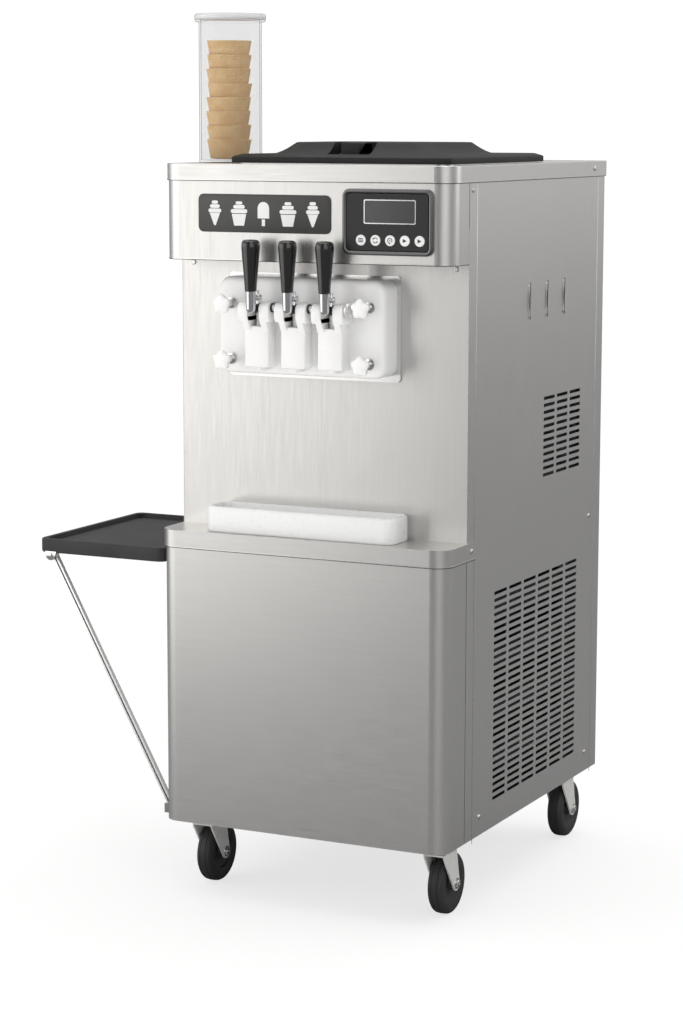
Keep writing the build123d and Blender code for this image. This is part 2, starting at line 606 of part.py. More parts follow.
def head_block():
    half_w = HEAD_WIDTH / 2
    half_h = HEAD_HEIGHT / 2
    outline = Pos(HEAD_X, HEAD_Z) * RectangleRounded(2 * half_w, 2 * half_h, HEAD_RADIUS)
    body = front_sheet(outline, -FRAME_THICKNESS, HEAD_DEPTH)
    body = fillet(body.edges().group_by(Axis.Y)[0], 7)
    for x in VALVE_XS.values():
        body += valve_body(x)
    floor_y = -FRAME_THICKNESS - 20
    for x in CYLINDER_XS.values():
        body -= rod_y(CYLINDER_RADIUS - CYLINDER_WALL, floor_y, 0, x, CYLINDER_Z)
    port_z = VALVE_BOTTOM + 11
    body -= block((HEAD_X - 36, HEAD_X + 36), (floor_y, 0), (HEAD_Z - 27, HEAD_Z - 17))
    for x in VALVE_XS.values():
        body -= rod_z(PLUNGER_RADIUS + PLUNGER_CLEARANCE, VALVE_BOTTOM - 1, EAR_TOP + 1, x, PLUNGER_Y)
        body -= rod_y(5, PLUNGER_Y, floor_y + 5, x, port_z)
        body -= block((x - 5, x + 5), (floor_y, 0), (port_z - 5, HEAD_Z - 17))
        body -= rod_x(PIVOT_RADIUS + 0.2, x - EAR_WIDTH, x + EAR_WIDTH, PIVOT_Y, PIVOT_Z)
        body += nozzle(x)
    for x, z in STUDS.values():
        body -= rod_y(STUD_RADIUS + 0.5, -STUD_FRONT, 0, x, z)
    return body


def nozzle(x):
    """Short outlet collar under the valve with a six-pointed mouth."""
    collar = rod_z(PLUNGER_RADIUS + NOZZLE_WALL, NOZZLE_BOTTOM, VALVE_BOTTOM + 3, x, PLUNGER_Y)
    star = [(radius * cos(radians(30 * i)), radius * sin(radians(30 * i)))
            for i, radius in enumerate((6.5, 3.6) * 6)]
    mouth = extrude(make_face(Polyline(*star, close=True)), amount=20)
    return collar - Pos(x, PLUNGER_Y, NOZZLE_BOTTOM - 1) * mouth


def plunger(x):
    """Piston that opens the valve; the lever's finger sits in the notch near its top."""
    top = PIVOT_Z + FINGER_RADIUS + FINGER_PLAY + 4
    body = rod_z(PLUNGER_RADIUS, VALVE_BOTTOM + 4, top, x, PLUNGER_Y)
    notch = block((x - 20, x + 20), (PLUNGER_Y - 20, PLUNGER_Y + FINGER_RADIUS + 1.2),
                  (PIVOT_Z - 10, PIVOT_Z + FINGER_RADIUS + FINGER_PLAY))
    return body - notch


def pivot_shaft():
    x0 = VALVE_XS["left"] - EAR_WIDTH / 2 - 3
    x1 = VALVE_XS["right"] + EAR_WIDTH / 2
    shaft = rod_x(PIVOT_RADIUS, x0, x1 + 2, PIVOT_Y, PIVOT_Z)
    cap = rod_x(15, x1 + 0.5, x1 + 10, PIVOT_Y, PIVOT_Z)
    return shaft + fillet(cap.edges(), 3)


def lever(x):
    """Hand lever: upright rod, hub on the pivot shaft, finger behind it and an adjusting nut on the hub."""
    rod = rod_z(LEVER_RADIUS, LEVER_BOTTOM + LEVER_RADIUS, LEVER_SHOULDER, x, LEVER_Y)
    rod += Pos(x, LEVER_Y, LEVER_BOTTOM + LEVER_RADIUS) * Sphere(LEVER_RADIUS)
    rod += rod_z(5, LEVER_SHOULDER - 1, LEVER_SHOULDER + 50, x, LEVER_Y)
    half = LEVER_WIDTH / 2
    arm = block((x - half, x + half), (LEVER_Y, PIVOT_Y), (PIVOT_Z - 6, PIVOT_Z + 6))
    hub = rod_x(PIVOT_RADIUS + HUB_WALL, x - half, x + half, PIVOT_Y, PIVOT_Z)
    finger = block((x - 4, x + 4), (PIVOT_Y, PIVOT_Y + FINGER_REACH), (PIVOT_Z - 2, PIVOT_Z + 2))
    finger += rod_x(FINGER_RADIUS, x - 4, x + 4, PIVOT_Y + FINGER_REACH, PIVOT_Z)
    nut_y = PIVOT_Y + 2
    post = rod_z(3, PIVOT_Z + 5, PIVOT_Z + 27, x, nut_y)
    nut = hexagon_nut(7, PIVOT_Z + 14, PIVOT_Z + 22, x, nut_y)
    body = rod + arm + hub + finger + post + nut
    return body - rod_x(PIVOT_RADIUS + PIVOT_CLEARANCE, x - 20, x + 20, PIVOT_Y, PIVOT_Z)


def grip(x):
    """Tapered handle, wide and domed at the top, bored for the lever's tang."""
    top = GRIP_LENGTH
    with BuildSketch(Plane.XZ) as half_profile:
        with BuildLine():
            Line((0, 0), (GRIP_BOTTOM_RADIUS, 0))
            Spline((GRIP_BOTTOM_RADIUS, 0), (GRIP_BOTTOM_RADIUS + 2.2, top * 0.35), (GRIP_TOP_RADIUS, top * 0.84))
            Spline((GRIP_TOP_RADIUS, top * 0.84), (GRIP_TOP_RADIUS * 0.78, top * 0.96), (0, top),
                   tangents=((0, 1), (-1, 0)))
            Line((0, top), (0, 0))
        make_face()
    body = Pos(x, LEVER_Y, LEVER_SHOULDER) * revolve(half_profile.sketch, Axis.Z)
    return body - rod_z(5.1, LEVER_SHOULDER - 1, LEVER_SHOULDER + 52, x, LEVER_Y)


def knob(x, z):
    """Five-lobed clamping knob with a steel sleeve that presses on the head block."""
    lobe_radius = KNOB_RADIUS * 0.36
    outline = Circle(KNOB_RADIUS * 0.74)
    for i in range(KNOB_LOBES):
        outline += Rot(0, 0, 90 + 360 / KNOB_LOBES * i) * Pos(KNOB_RADIUS - lobe_radius, 0) * Circle(lobe_radius)
    outline = fillet(outline.vertices(), 2)
    head = front_sheet(Pos(x, z) * outline, -KNOB_FRONT + KNOB_THICKNESS, KNOB_THICKNESS)
    head = chamfer(head.edges().group_by(Axis.Y)[0], 1)
    sleeve = rod_y(STUD_RADIUS + 2.5, -KNOB_FRONT + KNOB_THICKNESS - 1, BLOCK_FRONT - 0.2, x, z)
    return head + sleeve - rod_y(STUD_RADIUS + 0.06, -STUD_FRONT - 1, 0, x, z)


# ---------------------------------------------------------------- controls and name plate
def nameplate():
    plate = front_sheet(span(PLATE_X, PLATE_Z, 10), HEADER_FRONT_Y, PLATE_THICKNESS)
    return fillet(plate.edges().group_by(Axis.Y)[0], 0.8)


def control_bezel():
    outer = span(BEZEL_X, BEZEL_Z, 12)
    inner = offset(outer, -BEZEL_RIM)
    ring = front_sheet(outer - inner, HEADER_FRONT_Y, BEZEL_DEPTH)
    return ring


def control_face():
    outline = offset(span(BEZEL_X, BEZEL_Z, 12), -BEZEL_RIM - 0.2)
    face = front_sheet(outline, HEADER_FRONT_Y, FACE_DEPTH)
    face -= front_sheet(span(WINDOW_X, WINDOW_Z, 2), FACE_FRONT + WINDOW_RECESS, WINDOW_RECESS + 1)
    for x in BUTTON_XS.values():
        face -= rod_y(BUTTON_RADIUS + BUTTON_CLEARANCE, FACE_FRONT - 1, HEADER_FRONT_Y, x, BUTTON_Z)
    return face


def button(x):
    front = FACE_FRONT - BUTTON_PROUD
    cap = rod_y(BUTTON_RADIUS, front, front + BUTTON_THICKNESS, x, BUTTON_Z)
    return fillet(cap.edges().group_by(Axis.Y)[0], 0.8)


def drip_tray():
    back = -DRIP_GAP
    outer = span(DRIP_X, (back - DRIP_DEPTH, back), DRIP_RADIUS)
    tray = extrude(outer, amount=DRIP_HEIGHT)
    tray = fillet(tray.edges().group_by(Axis.Z)[-1], 2)
    well = extrude(offset(outer, -DRIP_WALL), amount=DRIP_HEIGHT)
    return Pos(0, 0, LEDGE_TOP) * (tray - Pos(0, 0, DRIP_FLOOR) * well)


# ---------------------------------------------------------------- top of the machine
def mix_hopper():
    """Two wells under the lid, hung from a flange on the cover, each with a feed spigot."""
    flange = span((LID_X[0] + 6, LID_X[1] - 6), (LID_Y[0] + 6, LID_Y[1] - 6), LID_RADIUS - 6)
    bottom = TOP_Z - HOPPER_DEPTH
    tub = Pos(0, 0, TOP_Z) * extrude(flange, amount=HOPPER_FLANGE)
    tub += Pos(0, 0, bottom) * extrude(span(HOPPER_X, HOPPER_Y, 10), amount=HOPPER_DEPTH)
    middle = (HOPPER_X[0] + HOPPER_X[1]) / 2
    wells = ((HOPPER_X[0] + HOPPER_WALL, middle - HOPPER_DIVIDER / 2),
             (middle + HOPPER_DIVIDER / 2, HOPPER_X[1] - HOPPER_WALL))
    depths = (HOPPER_Y[0] + HOPPER_WALL, HOPPER_Y[1] - HOPPER_WALL)
    for well in wells:
        tub -= Pos(0, 0, bottom + HOPPER_WALL) * extrude(span(well, depths, 8), amount=2 * HOPPER_DEPTH)
    for well in wells:
        x = well[0] + 40
        tub += rod_z(SPIGOT_RADIUS, bottom - 14, bottom + 1, x, HOPPER_Y[0] + 40)
        tub -= rod_z(SPIGOT_RADIUS - 4, bottom - 15, bottom + 10, x, HOPPER_Y[0] + 40)
    return tub


def lid_form(shrink, flange):
    """The lid's outer form, or its hollow when shrunk: flange, low deck and raised dome."""
    bottom = TOP_Z + HOPPER_FLANGE
    xs = (LID_X[0] + shrink, LID_X[1] - shrink)
    ys = (LID_Y[0] + shrink, LID_Y[1] - shrink)
    border = LID_DECK_BORDER
    form = Pos(0, 0, bottom) * extrude(span(xs, ys, LID_RADIUS - shrink), amount=flange)
    deck = span((xs[0] + border, xs[1] - border), (ys[0] + border, ys[1] - border), LID_RADIUS - shrink)
    form += Pos(0, 0, bottom + flange) * extrude(deck, amount=LID_DECK_RISE, taper=45)
    dome = span((LID_DOME_X[0] + shrink, LID_DOME_X[1] - shrink), (LID_DOME_Y[0] + shrink, LID_DOME_Y[1] - shrink),
                LID_DOME_RADIUS)
    return form + Pos(0, 0, bottom + flange) * extrude(dome, amount=LID_RISE, taper=LID_DOME_TAPER)


def hopper_lid():
    """Moulded lid with a finger recess in the dome's front slope, parted by a rib to pull on."""
    flange_top = TOP_Z + HOPPER_FLANGE + LID_FLANGE
    top = flange_top + LID_RISE
    middle = (LID_X[0] + LID_X[1]) / 2
    slope_top = LID_DOME_Y[0] + LID_RISE * tan(radians(LID_DOME_TAPER))
    recess_y = (LID_DOME_Y[0] + 6, slope_top + RECESS_DEPTH)
    reach = RECESS_WIDTH / 2
    boss = block((middle - reach - LID_WALL, middle + reach + LID_WALL), (LID_Y[0], recess_y[1] + LID_WALL),
                 (TOP_Z, top))
    lid = lid_form(0, LID_FLANGE) - (lid_form(LID_WALL + 6, LID_FLANGE - LID_WALL) - boss)
    for sign in (-1, 1):
        pocket_x = sorted((middle + sign * RECESS_RIB / 2, middle + sign * reach))
        lid -= block(pocket_x, recess_y, (flange_top + 1, top + 1))
    rib = block((middle - RECESS_RIB / 2, middle + RECESS_RIB / 2), (slope_top - 14, recess_y[1] + 1),
                (flange_top - 1, top))
    return lid + rib


def cone_tube():
    """Clear dispenser tube for wafer cups: closed floor, open top with a thick rim."""
    rim_z = TOP_Z + TUBE_HEIGHT - TUBE_RIM_HEIGHT
    tube = rod_z(TUBE_RADIUS, TOP_Z, rim_z + 1, TUBE_X, TUBE_Y)
    rim = rod_z(TUBE_RIM_RADIUS, rim_z, TOP_Z + TUBE_HEIGHT, TUBE_X, TUBE_Y)
    tube += fillet(rim.edges(), 3)
    return tube - rod_z(TUBE_RADIUS - TUBE_WALL, TOP_Z + TUBE_WALL + 1, TOP_Z + TUBE_HEIGHT + 1, TUBE_X, TUBE_Y)


# ---------------------------------------------------------------- side shelf
def shelf_tray():
    outer = span((SHELF_OUTER_X, SHELF_INNER_X), SHELF_Y, SHELF_RADIUS)
    bottom = SHELF_TOP - SHELF_HEIGHT
    tray = Pos(0, 0, bottom) * extrude(outer, amount=SHELF_HEIGHT)
    tray = fillet(tray.edges().group_by(Axis.Z)[-1], 2)
    tray -= Pos(0, 0, SHELF_TOP - SHELF_RECESS) * extrude(offset(outer, -SHELF_RIM), amount=20)
    under = SHELF_HEIGHT - SHELF_RECESS - SHELF_FLOOR
    tray -= Pos(0, 0, bottom - 1) * extrude(offset(outer, -3.5), amount=under + 1)
    for y in HINGE_YS:
        tray += knuckle(y - HINGE_WIDTH / 6, y + HINGE_WIDTH / 6)
        strap_y = (y - HINGE_WIDTH / 6, y + HINGE_WIDTH / 6)
        tray += block((SHELF_INNER_X - 3, HINGE_X - 2), strap_y, (SHELF_TOP - 5, SHELF_TOP))
        tray -= rod_y(HINGE_PIN + HINGE_CLEARANCE, y - HINGE_WIDTH, y + HINGE_WIDTH, HINGE_X, HINGE_Z)
    tray += strut_lug(bottom)
    return tray


def knuckle(y0, y1):
    return rod_y(HINGE_RADIUS, y0, y1, HINGE_X, HINGE_Z)


def strut_lug(bottom):
    """Lug under the shelf's outer front corner, with the pin that carries the strut's eye."""
    x, z = STRUT_TOP
    lug = block((x - 6, x + 6), (STRUT_Y - 13, STRUT_Y - 6), (z - 6, bottom + 12))
    lug += rod_y(STRUT_PIN, STRUT_Y - 7, STRUT_Y + 6, x, z)
    return lug + rod_y(STRUT_PIN + 2, STRUT_Y + 5, STRUT_Y + 7.5, x, z)


def shelf_brackets():
    """Two hinge leaves with pins on the left panel, and the keeper that the strut's foot stands in."""
    solids = []
    face = -HALF
    for y in HINGE_YS:
        leaf = block((face - 2, face), (y - HINGE_WIDTH / 2, y + HINGE_WIDTH / 2), (HINGE_Z - 30, HINGE_Z + 12))
        for side in (-1, 1):
            outer = y + side * HINGE_WIDTH / 2
            inner = y + side * (HINGE_WIDTH / 6 + 0.4)
            ys = sorted((outer, inner))
            leaf += knuckle(*ys)
            leaf += block((HINGE_X, face - 1), ys, (HINGE_Z - 2, HINGE_Z + 2))
        leaf += rod_y(HINGE_PIN, y - HINGE_WIDTH / 2, y + HINGE_WIDTH / 2, HINGE_X, HINGE_Z)
        solids.append(leaf)
    foot_x, foot_z = STRUT_FOOT
    floor_z = foot_z - STRUT_RADIUS - 1.5
    outer_x = foot_x - 10
    keeper = block((face - 2, face), (STRUT_Y - 12, STRUT_Y + 12), (floor_z - 3, floor_z + 30))
    keeper += block((outer_x, face), (STRUT_Y - 12, STRUT_Y + 12), (floor_z - 3, floor_z))
    for side in (-1, 1):
        cheek = sorted((STRUT_Y + side * 9, STRUT_Y + side * 12))
        keeper += block((outer_x, face), cheek, (floor_z - 1, floor_z + 14))
    solids.append(keeper)
    return solids


def shelf_strut():
    """Straight rod from the eye under the shelf to the rounded foot in the keeper."""
    (x0, z0), (x1, z1) = STRUT_TOP, STRUT_FOOT
    top = Vector(x0, STRUT_Y, z0)
    foot = Vector(x1, STRUT_Y, z1)
    rod = Plane(origin=top, z_dir=foot - top) * Pos(0, 0, (foot - top).length / 2) * \
        Cylinder(STRUT_RADIUS, (foot - top).length)
    rod += Pos(foot.X, foot.Y, foot.Z) * Sphere(STRUT_RADIUS)
    rod += rod_y(STRUT_PIN + 4, STRUT_Y - 4.5, STRUT_Y + 4.5, x0, z0)
    return rod - rod_y(STRUT_PIN + 0.08, STRUT_Y - 20, STRUT_Y + 20, x0, z0)


# ---------------------------------------------------------------- casters
def caster_plate(x, y):
    length, width, thickness = CASTER_PLATE
    plate = block((x - width / 2, x + width / 2), (y - length / 2, y + length / 2),
                  (UNDERSIDE_Z - thickness, UNDERSIDE_Z))
    plate += rod_z(BEARING_RADIUS, CROWN_Z + FORK_SHEET + 0.5, UNDERSIDE_Z - thickness + 1, x, y)
    for side_x in (-1, 1):
        for side_y in (-1, 1):
            bolt = hexagon_nut(6, UNDERSIDE_Z - thickness - 5, UNDERSIDE_Z - thickness,
                               x + side_x * (width / 2 - 9), y + side_y * (length / 2 - 11))
            plate += bolt
    return plate - rod_z(6 + 0.06, CROWN_Z, UNDERSIDE_Z - 6, x, y)


def fork(x, y):
    """Swivel fork: crown with its kingpin, two sheet cheeks swept back to the axle, and the axle bolt."""
    axle_y = y + TRAIL
    half = FORK_GAP / 2 + FORK_SHEET
    crown = block((x - half, x + half), (y - BEARING_RADIUS, y + BEARING_RADIUS + 6),
                  (CROWN_Z, CROWN_Z + FORK_SHEET))
    cheek_outline = make_hull((
        Pos(y - BEARING_RADIUS + 4, CROWN_Z + FORK_SHEET - 4) * Circle(4)
        + Pos(y + BEARING_RADIUS + 2, CROWN_Z + FORK_SHEET - 4) * Circle(4)
        + Pos(axle_y, WHEEL_RADIUS) * Circle(13)).edges())
    fork_body = crown
    for inner_x in (x - half, x + FORK_GAP / 2):
        fork_body += side_sheet(cheek_outline, inner_x, FORK_SHEET)
    fork_body += rod_z(6, CROWN_Z + 1, UNDERSIDE_Z - 7, x, y)
    fork_body += rod_x(AXLE_RADIUS, x - half - 1, x + half + 1, axle_y, WHEEL_RADIUS)
    head = Pos(x + half, axle_y, WHEEL_RADIUS) * Rot(0, 90, 0) * extrude(RegularPolygon(7, 6), amount=4)
    tail = Pos(x - half, axle_y, WHEEL_RADIUS) * Rot(0, -90, 0) * extrude(RegularPolygon(7, 6), amount=4)
    return fork_body + head + tail


def wheel(x, y):
    """Rubber-tyred wheel with a dished hub, running on the axle bolt."""
    axle_y = y + TRAIL
    half = WHEEL_WIDTH / 2
    tyre = rod_x(WHEEL_RADIUS, x - half, x + half, axle_y, WHEEL_RADIUS)
    tyre = fillet(tyre.edges(), 5)
    for sign in (-1, 1):
        dish = rod_x(31, *sorted((x + sign * (half - 5), x + sign * (half + 1))), axle_y, WHEEL_RADIUS)
        tyre -= dish
        tyre += rod_x(12, *sorted((x + sign * (half - 6), x + sign * (half + 1.5))), axle_y, WHEEL_RADIUS)
    return tyre - rod_x(AXLE_RADIUS + AXLE_CLEARANCE, x - 40, x + 40, axle_y, WHEEL_RADIUS)


# ---------------------------------------------------------------- the whole machine
def build_machine():
    """All sub-parts by node name, in the design frame. A list holds separate solids of one node."""
    nodes = {
        "base_plate": base_plate(),
        "corner_posts": corner_posts(),
        "lower_front_panel": lower_front_panel(),
        "ledge": ledge(),
        "upper_front_panel": upper_front_panel(),
        "header_panel": header_panel(),
        "top_cover": top_cover(),
        "side_panel_right": side_panel((LOWER_VENT, UPPER_VENT), True),
        "side_panel_left": mirror(side_panel((LOWER_VENT,), True), Plane.YZ),
        "rear_panel": rear_panel(),
        "panel_screws": panel_screws(),
        "power_gland": power_gland(),
        "inner_frame": inner_frame(),
        "freezing_cylinders": [freezing_cylinder(x) for x in CYLINDER_XS.values()],
        "gear_motors": [gear_motor(x) for x in CYLINDER_XS.values()],
        "compressor": compressor(),
        "condenser": condenser(),
        "condenser_fan": condenser_fan(),
        "head_frame": head_frame(),
        "head_block": head_block(),
        "pivot_shaft": pivot_shaft(),
        "nameplate": nameplate(),
        "control_bezel": control_bezel(),
        "control_face": control_face(),
        "drip_tray": drip_tray(),
        "mix_hopper": mix_hopper(),
        "hopper_lid": hopper_lid(),
        "cone_tube": cone_tube(),
        "shelf_tray": shelf_tray(),
        "shelf_brackets": shelf_brackets(),
        "shelf_strut": shelf_strut(),
        "caster_plates": [caster_plate(*place) for place in CASTERS.values()],
    }
    nodes |= {f"beater_{side}": beater(x) for side, x in CYLINDER_XS.items()}
    nodes |= {f"plunger_{side}": plunger(x) for side, x in VALVE_XS.items()}
    nodes |= {f"lever_{side}": lever(x) for side, x in VALVE_XS.items()}
    nodes |= {f"grip_{side}": grip(x) for side, x in VALVE_XS.items()}
    nodes |= {f"knob_{place}": knob(*point) for place, point in STUDS.items()}
    nodes |= {f"button_{name}": button(x) for name, x in BUTTON_XS.items()}
    nodes |= {f"fork_{place}": fork(*point) for place, point in CASTERS.items()}
    nodes |= {f"wheel_{place}": wheel(*point) for place, point in CASTERS.items()}
    return nodes


def machine_box(nodes):
    """Lowest and highest corner of everything."""
    boxes = [solid.bounding_box() for shape in nodes.values()
             for solid in (shape if isinstance(shape, list) else [shape])]
    low = [min(getattr(box.min, axis) for box in boxes) for axis in "XYZ"]
    high = [max(getattr(box.max, axis) for box in boxes) for axis in "XYZ"]
    return low, high


def origin_shift(nodes):
    """Offset that brings the machine's bottom centre to the origin."""
    low, high = machine_box(nodes)
    return Vector(-(low[0] + high[0]) / 2, -(low[1] + high[1]) / 2, -low[2])


def main():
    nodes = build_machine()
    shift = origin_shift(nodes)
    os.makedirs("parts", exist_ok=True)
    for name, shape in nodes.items():
        solids = shape if isinstance(shape, list) else shape.solids()
        moved = [Pos(*shift) * solid for solid in solids]
        whole = moved[0] if len(moved) == 1 else Compound(children=moved)
        export_step(whole, f"parts/{name}.step")
    print("nodes", len(nodes), "origin shift", tuple(round(value, 3) for value in shift))


if __name__ == "__main__":
    main()
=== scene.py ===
# %% [markdown]
# Ice cream maker, a floor-standing soft-serve machine. The measured CAD model is loaded first as a fixed
# frame. Everything that follows gives its surfaces a real finish, or stands in for one of its parts with a
# piece that has more detail, always in the same place and in metres.

# %% Load the measured frame
import math
import bmesh
import bpy
from mathutils import Matrix, Vector


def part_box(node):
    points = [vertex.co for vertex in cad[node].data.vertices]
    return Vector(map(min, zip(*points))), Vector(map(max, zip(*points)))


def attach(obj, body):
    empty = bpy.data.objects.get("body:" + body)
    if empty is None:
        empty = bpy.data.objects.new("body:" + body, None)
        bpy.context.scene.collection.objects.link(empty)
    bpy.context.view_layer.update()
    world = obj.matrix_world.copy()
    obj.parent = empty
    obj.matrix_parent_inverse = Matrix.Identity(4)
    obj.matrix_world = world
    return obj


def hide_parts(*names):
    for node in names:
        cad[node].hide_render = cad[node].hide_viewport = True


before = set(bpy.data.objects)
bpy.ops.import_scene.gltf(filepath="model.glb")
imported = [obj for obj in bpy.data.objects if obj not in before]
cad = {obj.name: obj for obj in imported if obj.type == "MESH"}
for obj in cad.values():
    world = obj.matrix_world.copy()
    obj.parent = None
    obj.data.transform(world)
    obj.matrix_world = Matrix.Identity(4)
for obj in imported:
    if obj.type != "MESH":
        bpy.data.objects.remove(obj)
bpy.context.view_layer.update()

# %% [markdown]
# Sizes on a machine like this are easiest to think of in millimetres from its own cabinet: x from the middle
# of the cabinet, y from the face of the upper front panel, z from the floor. One small helper turns such a
# point into the scene's metres, so that every later cell can use workshop numbers.

# %% A ruler fixed to the cabinet
panel_low, panel_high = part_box("upper_front_panel")
CABINET_MIDDLE = (panel_low.x + panel_high.x) / 2
PANEL_FACE = panel_low.y


def at(x, y, z):
    """A point in millimetres from the cabinet, as a scene point in metres."""
    return Vector((CABINET_MIDDLE + x / 1000, PANEL_FACE + y / 1000, z / 1000))


def node_box(name):
    """A CAD node's lowest and highest corners, in millimetres from the cabinet."""
    low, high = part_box(name)
    shift = Vector((CABINET_MIDDLE, PANEL_FACE, 0))
    return (low - shift) * 1000, (high - shift) * 1000


print("cabinet middle", round(CABINET_MIDDLE, 4), "panel face", round(PANEL_FACE, 4))

# %% [markdown]
# The camera stands to the right of the machine and looks a little down at it, with a long lens so that the
# upright edges stay nearly parallel. Its place is given from the cabinet, like everything else.

# %% Camera
TURN = math.radians(26.12)
TILT = math.radians(8.552)
camera_data = bpy.data.cameras.new("camera")
camera_data.lens = 91.74
camera = bpy.data.objects.new("camera", camera_data)
bpy.context.scene.collection.objects.link(camera)
camera.location = at(2009.8, -4023.5, 1375.1)
camera.rotation_euler = (math.pi / 2 - TILT, math.radians(-0.09), TURN)
bpy.context.scene.camera = camera
print("camera", [round(v, 3) for v in camera.location])

# %% [markdown]
# Sheet steel shows its surroundings, so the studio matters as much as the metal. The backdrop is white where
# the camera sees it. Reflections see a ring of grey and white cards instead, each set by its compass heading.
# The floor is pale and glows a little where the camera sees it, and it is darker in reflections, which lets
# the panels shade off towards their feet as they do in a real studio with flags.

# %% Studio backdrop and floor
scene = bpy.context.scene
scene.view_settings.view_transform = "Standard"


def graph(tree, kind, **values):
    """Add a node and set its inputs, written with _ for the spaces in their names."""
    added = tree.nodes.new(kind)
    for name, value in values.items():
        added.inputs[name.replace("_", " ")].default_value = value
    return added


world = bpy.data.worlds.new("studio")
world.use_nodes = True
scene.world = world
sky = world.node_tree
sky.nodes.clear()
seen = graph(sky, "ShaderNodeBackground", Color=(1, 1, 1, 1), Strength=1.05)
mirrored = graph(sky, "ShaderNodeBackground", Strength=1.0)
ray = sky.nodes.new("ShaderNodeLightPath")
choice = sky.nodes.new("ShaderNodeMixShader")
sky_out = sky.nodes.new("ShaderNodeOutputWorld")
heading = sky.nodes.new("ShaderNodeTexCoord")
split = sky.nodes.new("ShaderNodeSeparateXYZ")
flip = graph(sky, "ShaderNodeMath")
flip.operation = "MULTIPLY"
flip.inputs[1].default_value = -1
compass = sky.nodes.new("ShaderNodeMath")
compass.operation = "ARCTAN2"
dial = graph(sky, "ShaderNodeMapRange", From_Min=-math.pi, From_Max=math.pi)
cards = sky.nodes.new("ShaderNodeValToRGB")
sky.links.new(heading.outputs["Generated"], split.inputs[0])
sky.links.new(split.outputs["Y"], flip.inputs[0])
sky.links.new(split.outputs["X"], compass.inputs[0])
sky.links.new(flip.outputs[0], compass.inputs[1])
sky.links.new(compass.outputs[0], dial.inputs["Value"])
sky.links.new(dial.outputs["Result"], cards.inputs["Fac"])
sky.links.new(cards.outputs["Color"], mirrored.inputs["Color"])
# heading in degrees, brightness
STUDIO_CARDS = ((-180, 0.55), (-150, 0.35), (-112, 0.35), (-84, 0.85), (-45, 0.75), (-20, 0.52), (-6, 0.16),
                (13, 0.1), (25, 1.5), (54, 1.5), (70, 0.35), (100, 0.45), (130, 0.72))
while len(cards.color_ramp.elements) < len(STUDIO_CARDS):
    cards.color_ramp.elements.new(0.5)
for stop, (degrees, grey) in zip(cards.color_ramp.elements, STUDIO_CARDS):
    stop.position = (degrees + 180) / 360
    stop.color = (grey, grey, grey, 1)
sky.links.new(ray.outputs["Is Camera Ray"], choice.inputs["Fac"])
sky.links.new(mirrored.outputs[0], choice.inputs[1])
sky.links.new(seen.outputs[0], choice.inputs[2])
sky.links.new(choice.outputs[0], sky_out.inputs[0])

floor_mesh = bpy.data.meshes.new("floor")
floor_mesh.from_pydata([(-30, -30, 0), (30, -30, 0), (30, 30, 0), (-30, 30, 0)], [], [(0, 1, 2, 3)])
floor = bpy.data.objects.new("floor", floor_mesh)
scene.collection.objects.link(floor)
pale = bpy.data.materials.new("pale_floor")
pale.use_nodes = True
ground = pale.node_tree
ground.nodes.clear()
bright = graph(ground, "ShaderNodeBsdfDiffuse", Color=(0.93, 0.93, 0.92, 1))
dim = graph(ground, "ShaderNodeBsdfDiffuse", Color=(0.21, 0.21, 0.214, 1))
ray = ground.nodes.new("ShaderNodeLightPath")
choice = ground.nodes.new("ShaderNodeMixShader")
ground_out = ground.nodes.new("ShaderNodeOutputMaterial")
ground.links.new(ray.outputs["Is Glossy Ray"], choice.inputs["Fac"])
ground.links.new(bright.outputs[0], choice.inputs[1])
ground.links.new(dim.outputs[0], choice.inputs[2])
FLOOR_GLOW = 0.72       # how much of the floor's look is glow, for the camera only
glow = graph(ground, "ShaderNodeEmission", Color=(1, 1, 1, 1), Strength=1.0)
share = ground.nodes.new("ShaderNodeMath")
share.operation = "MULTIPLY"
share.inputs[1].default_value = FLOOR_GLOW
lift = ground.nodes.new("ShaderNodeMixShader")
ground.links.new(ray.outputs["Is Camera Ray"], share.inputs[0])
ground.links.new(share.outputs[0], lift.inputs["Fac"])
ground.links.new(choice.outputs[0], lift.inputs[1])
ground.links.new(glow.outputs[0], lift.inputs[2])
ground.links.new(lift.outputs[0], ground_out.inputs[0])
floor_mesh.materials.append(pale)
print("floor and backdrop ready")

# %% [markdown]
# Three lights do the rest: a tall softbox at the front left, whose reflection fades across the front panels,
# a wide soft one from above for the floor and the lid, and a weak one on the right for the shaded side.

# %% Lights
def softbox(name, where, aim, width, height, watts, colour=(1, 1, 1)):
    """An area light that points from one place at another."""
    data = bpy.data.lights.new(name, "AREA")
    data.shape = "RECTANGLE"
    data.size, data.size_y, data.energy, data.color = width, height, watts, colour
    lamp = bpy.data.objects.new(name, data)
    scene.collection.objects.link(lamp)
    lamp.location = where
    lamp.rotation_euler = (aim - where).to_track_quat("-Z", "Y").to_euler()
    lamp.visible_camera = False
    return lamp


softbox("key", at(-2200, -1900, 880), at(0, 0, 680), 3.0, 2.8, 32, (1, 0.985, 0.965))
softbox("side", at(2600, 1400, 1900), at(200, 300, 900), 1.2, 1.2, 10)
overhead = bpy.data.lights.new("overhead", "SUN")
overhead.energy, overhead.angle = 1.6, math.radians(70)
sun = bpy.data.objects.new("overhead", overhead)
scene.collection.objects.link(sun)
sun.rotation_euler = (math.radians(-12), math.radians(-8), 0)

# %% [markdown]
# Every finish is built from nodes on Object coordinates, which are the same metres as the model. A helper
# makes the material and sets what is even all over, and a second one adds a noise that can be stretched,
# because brushed, rolled and moulded surfaces differ mostly in how their noise is stretched.

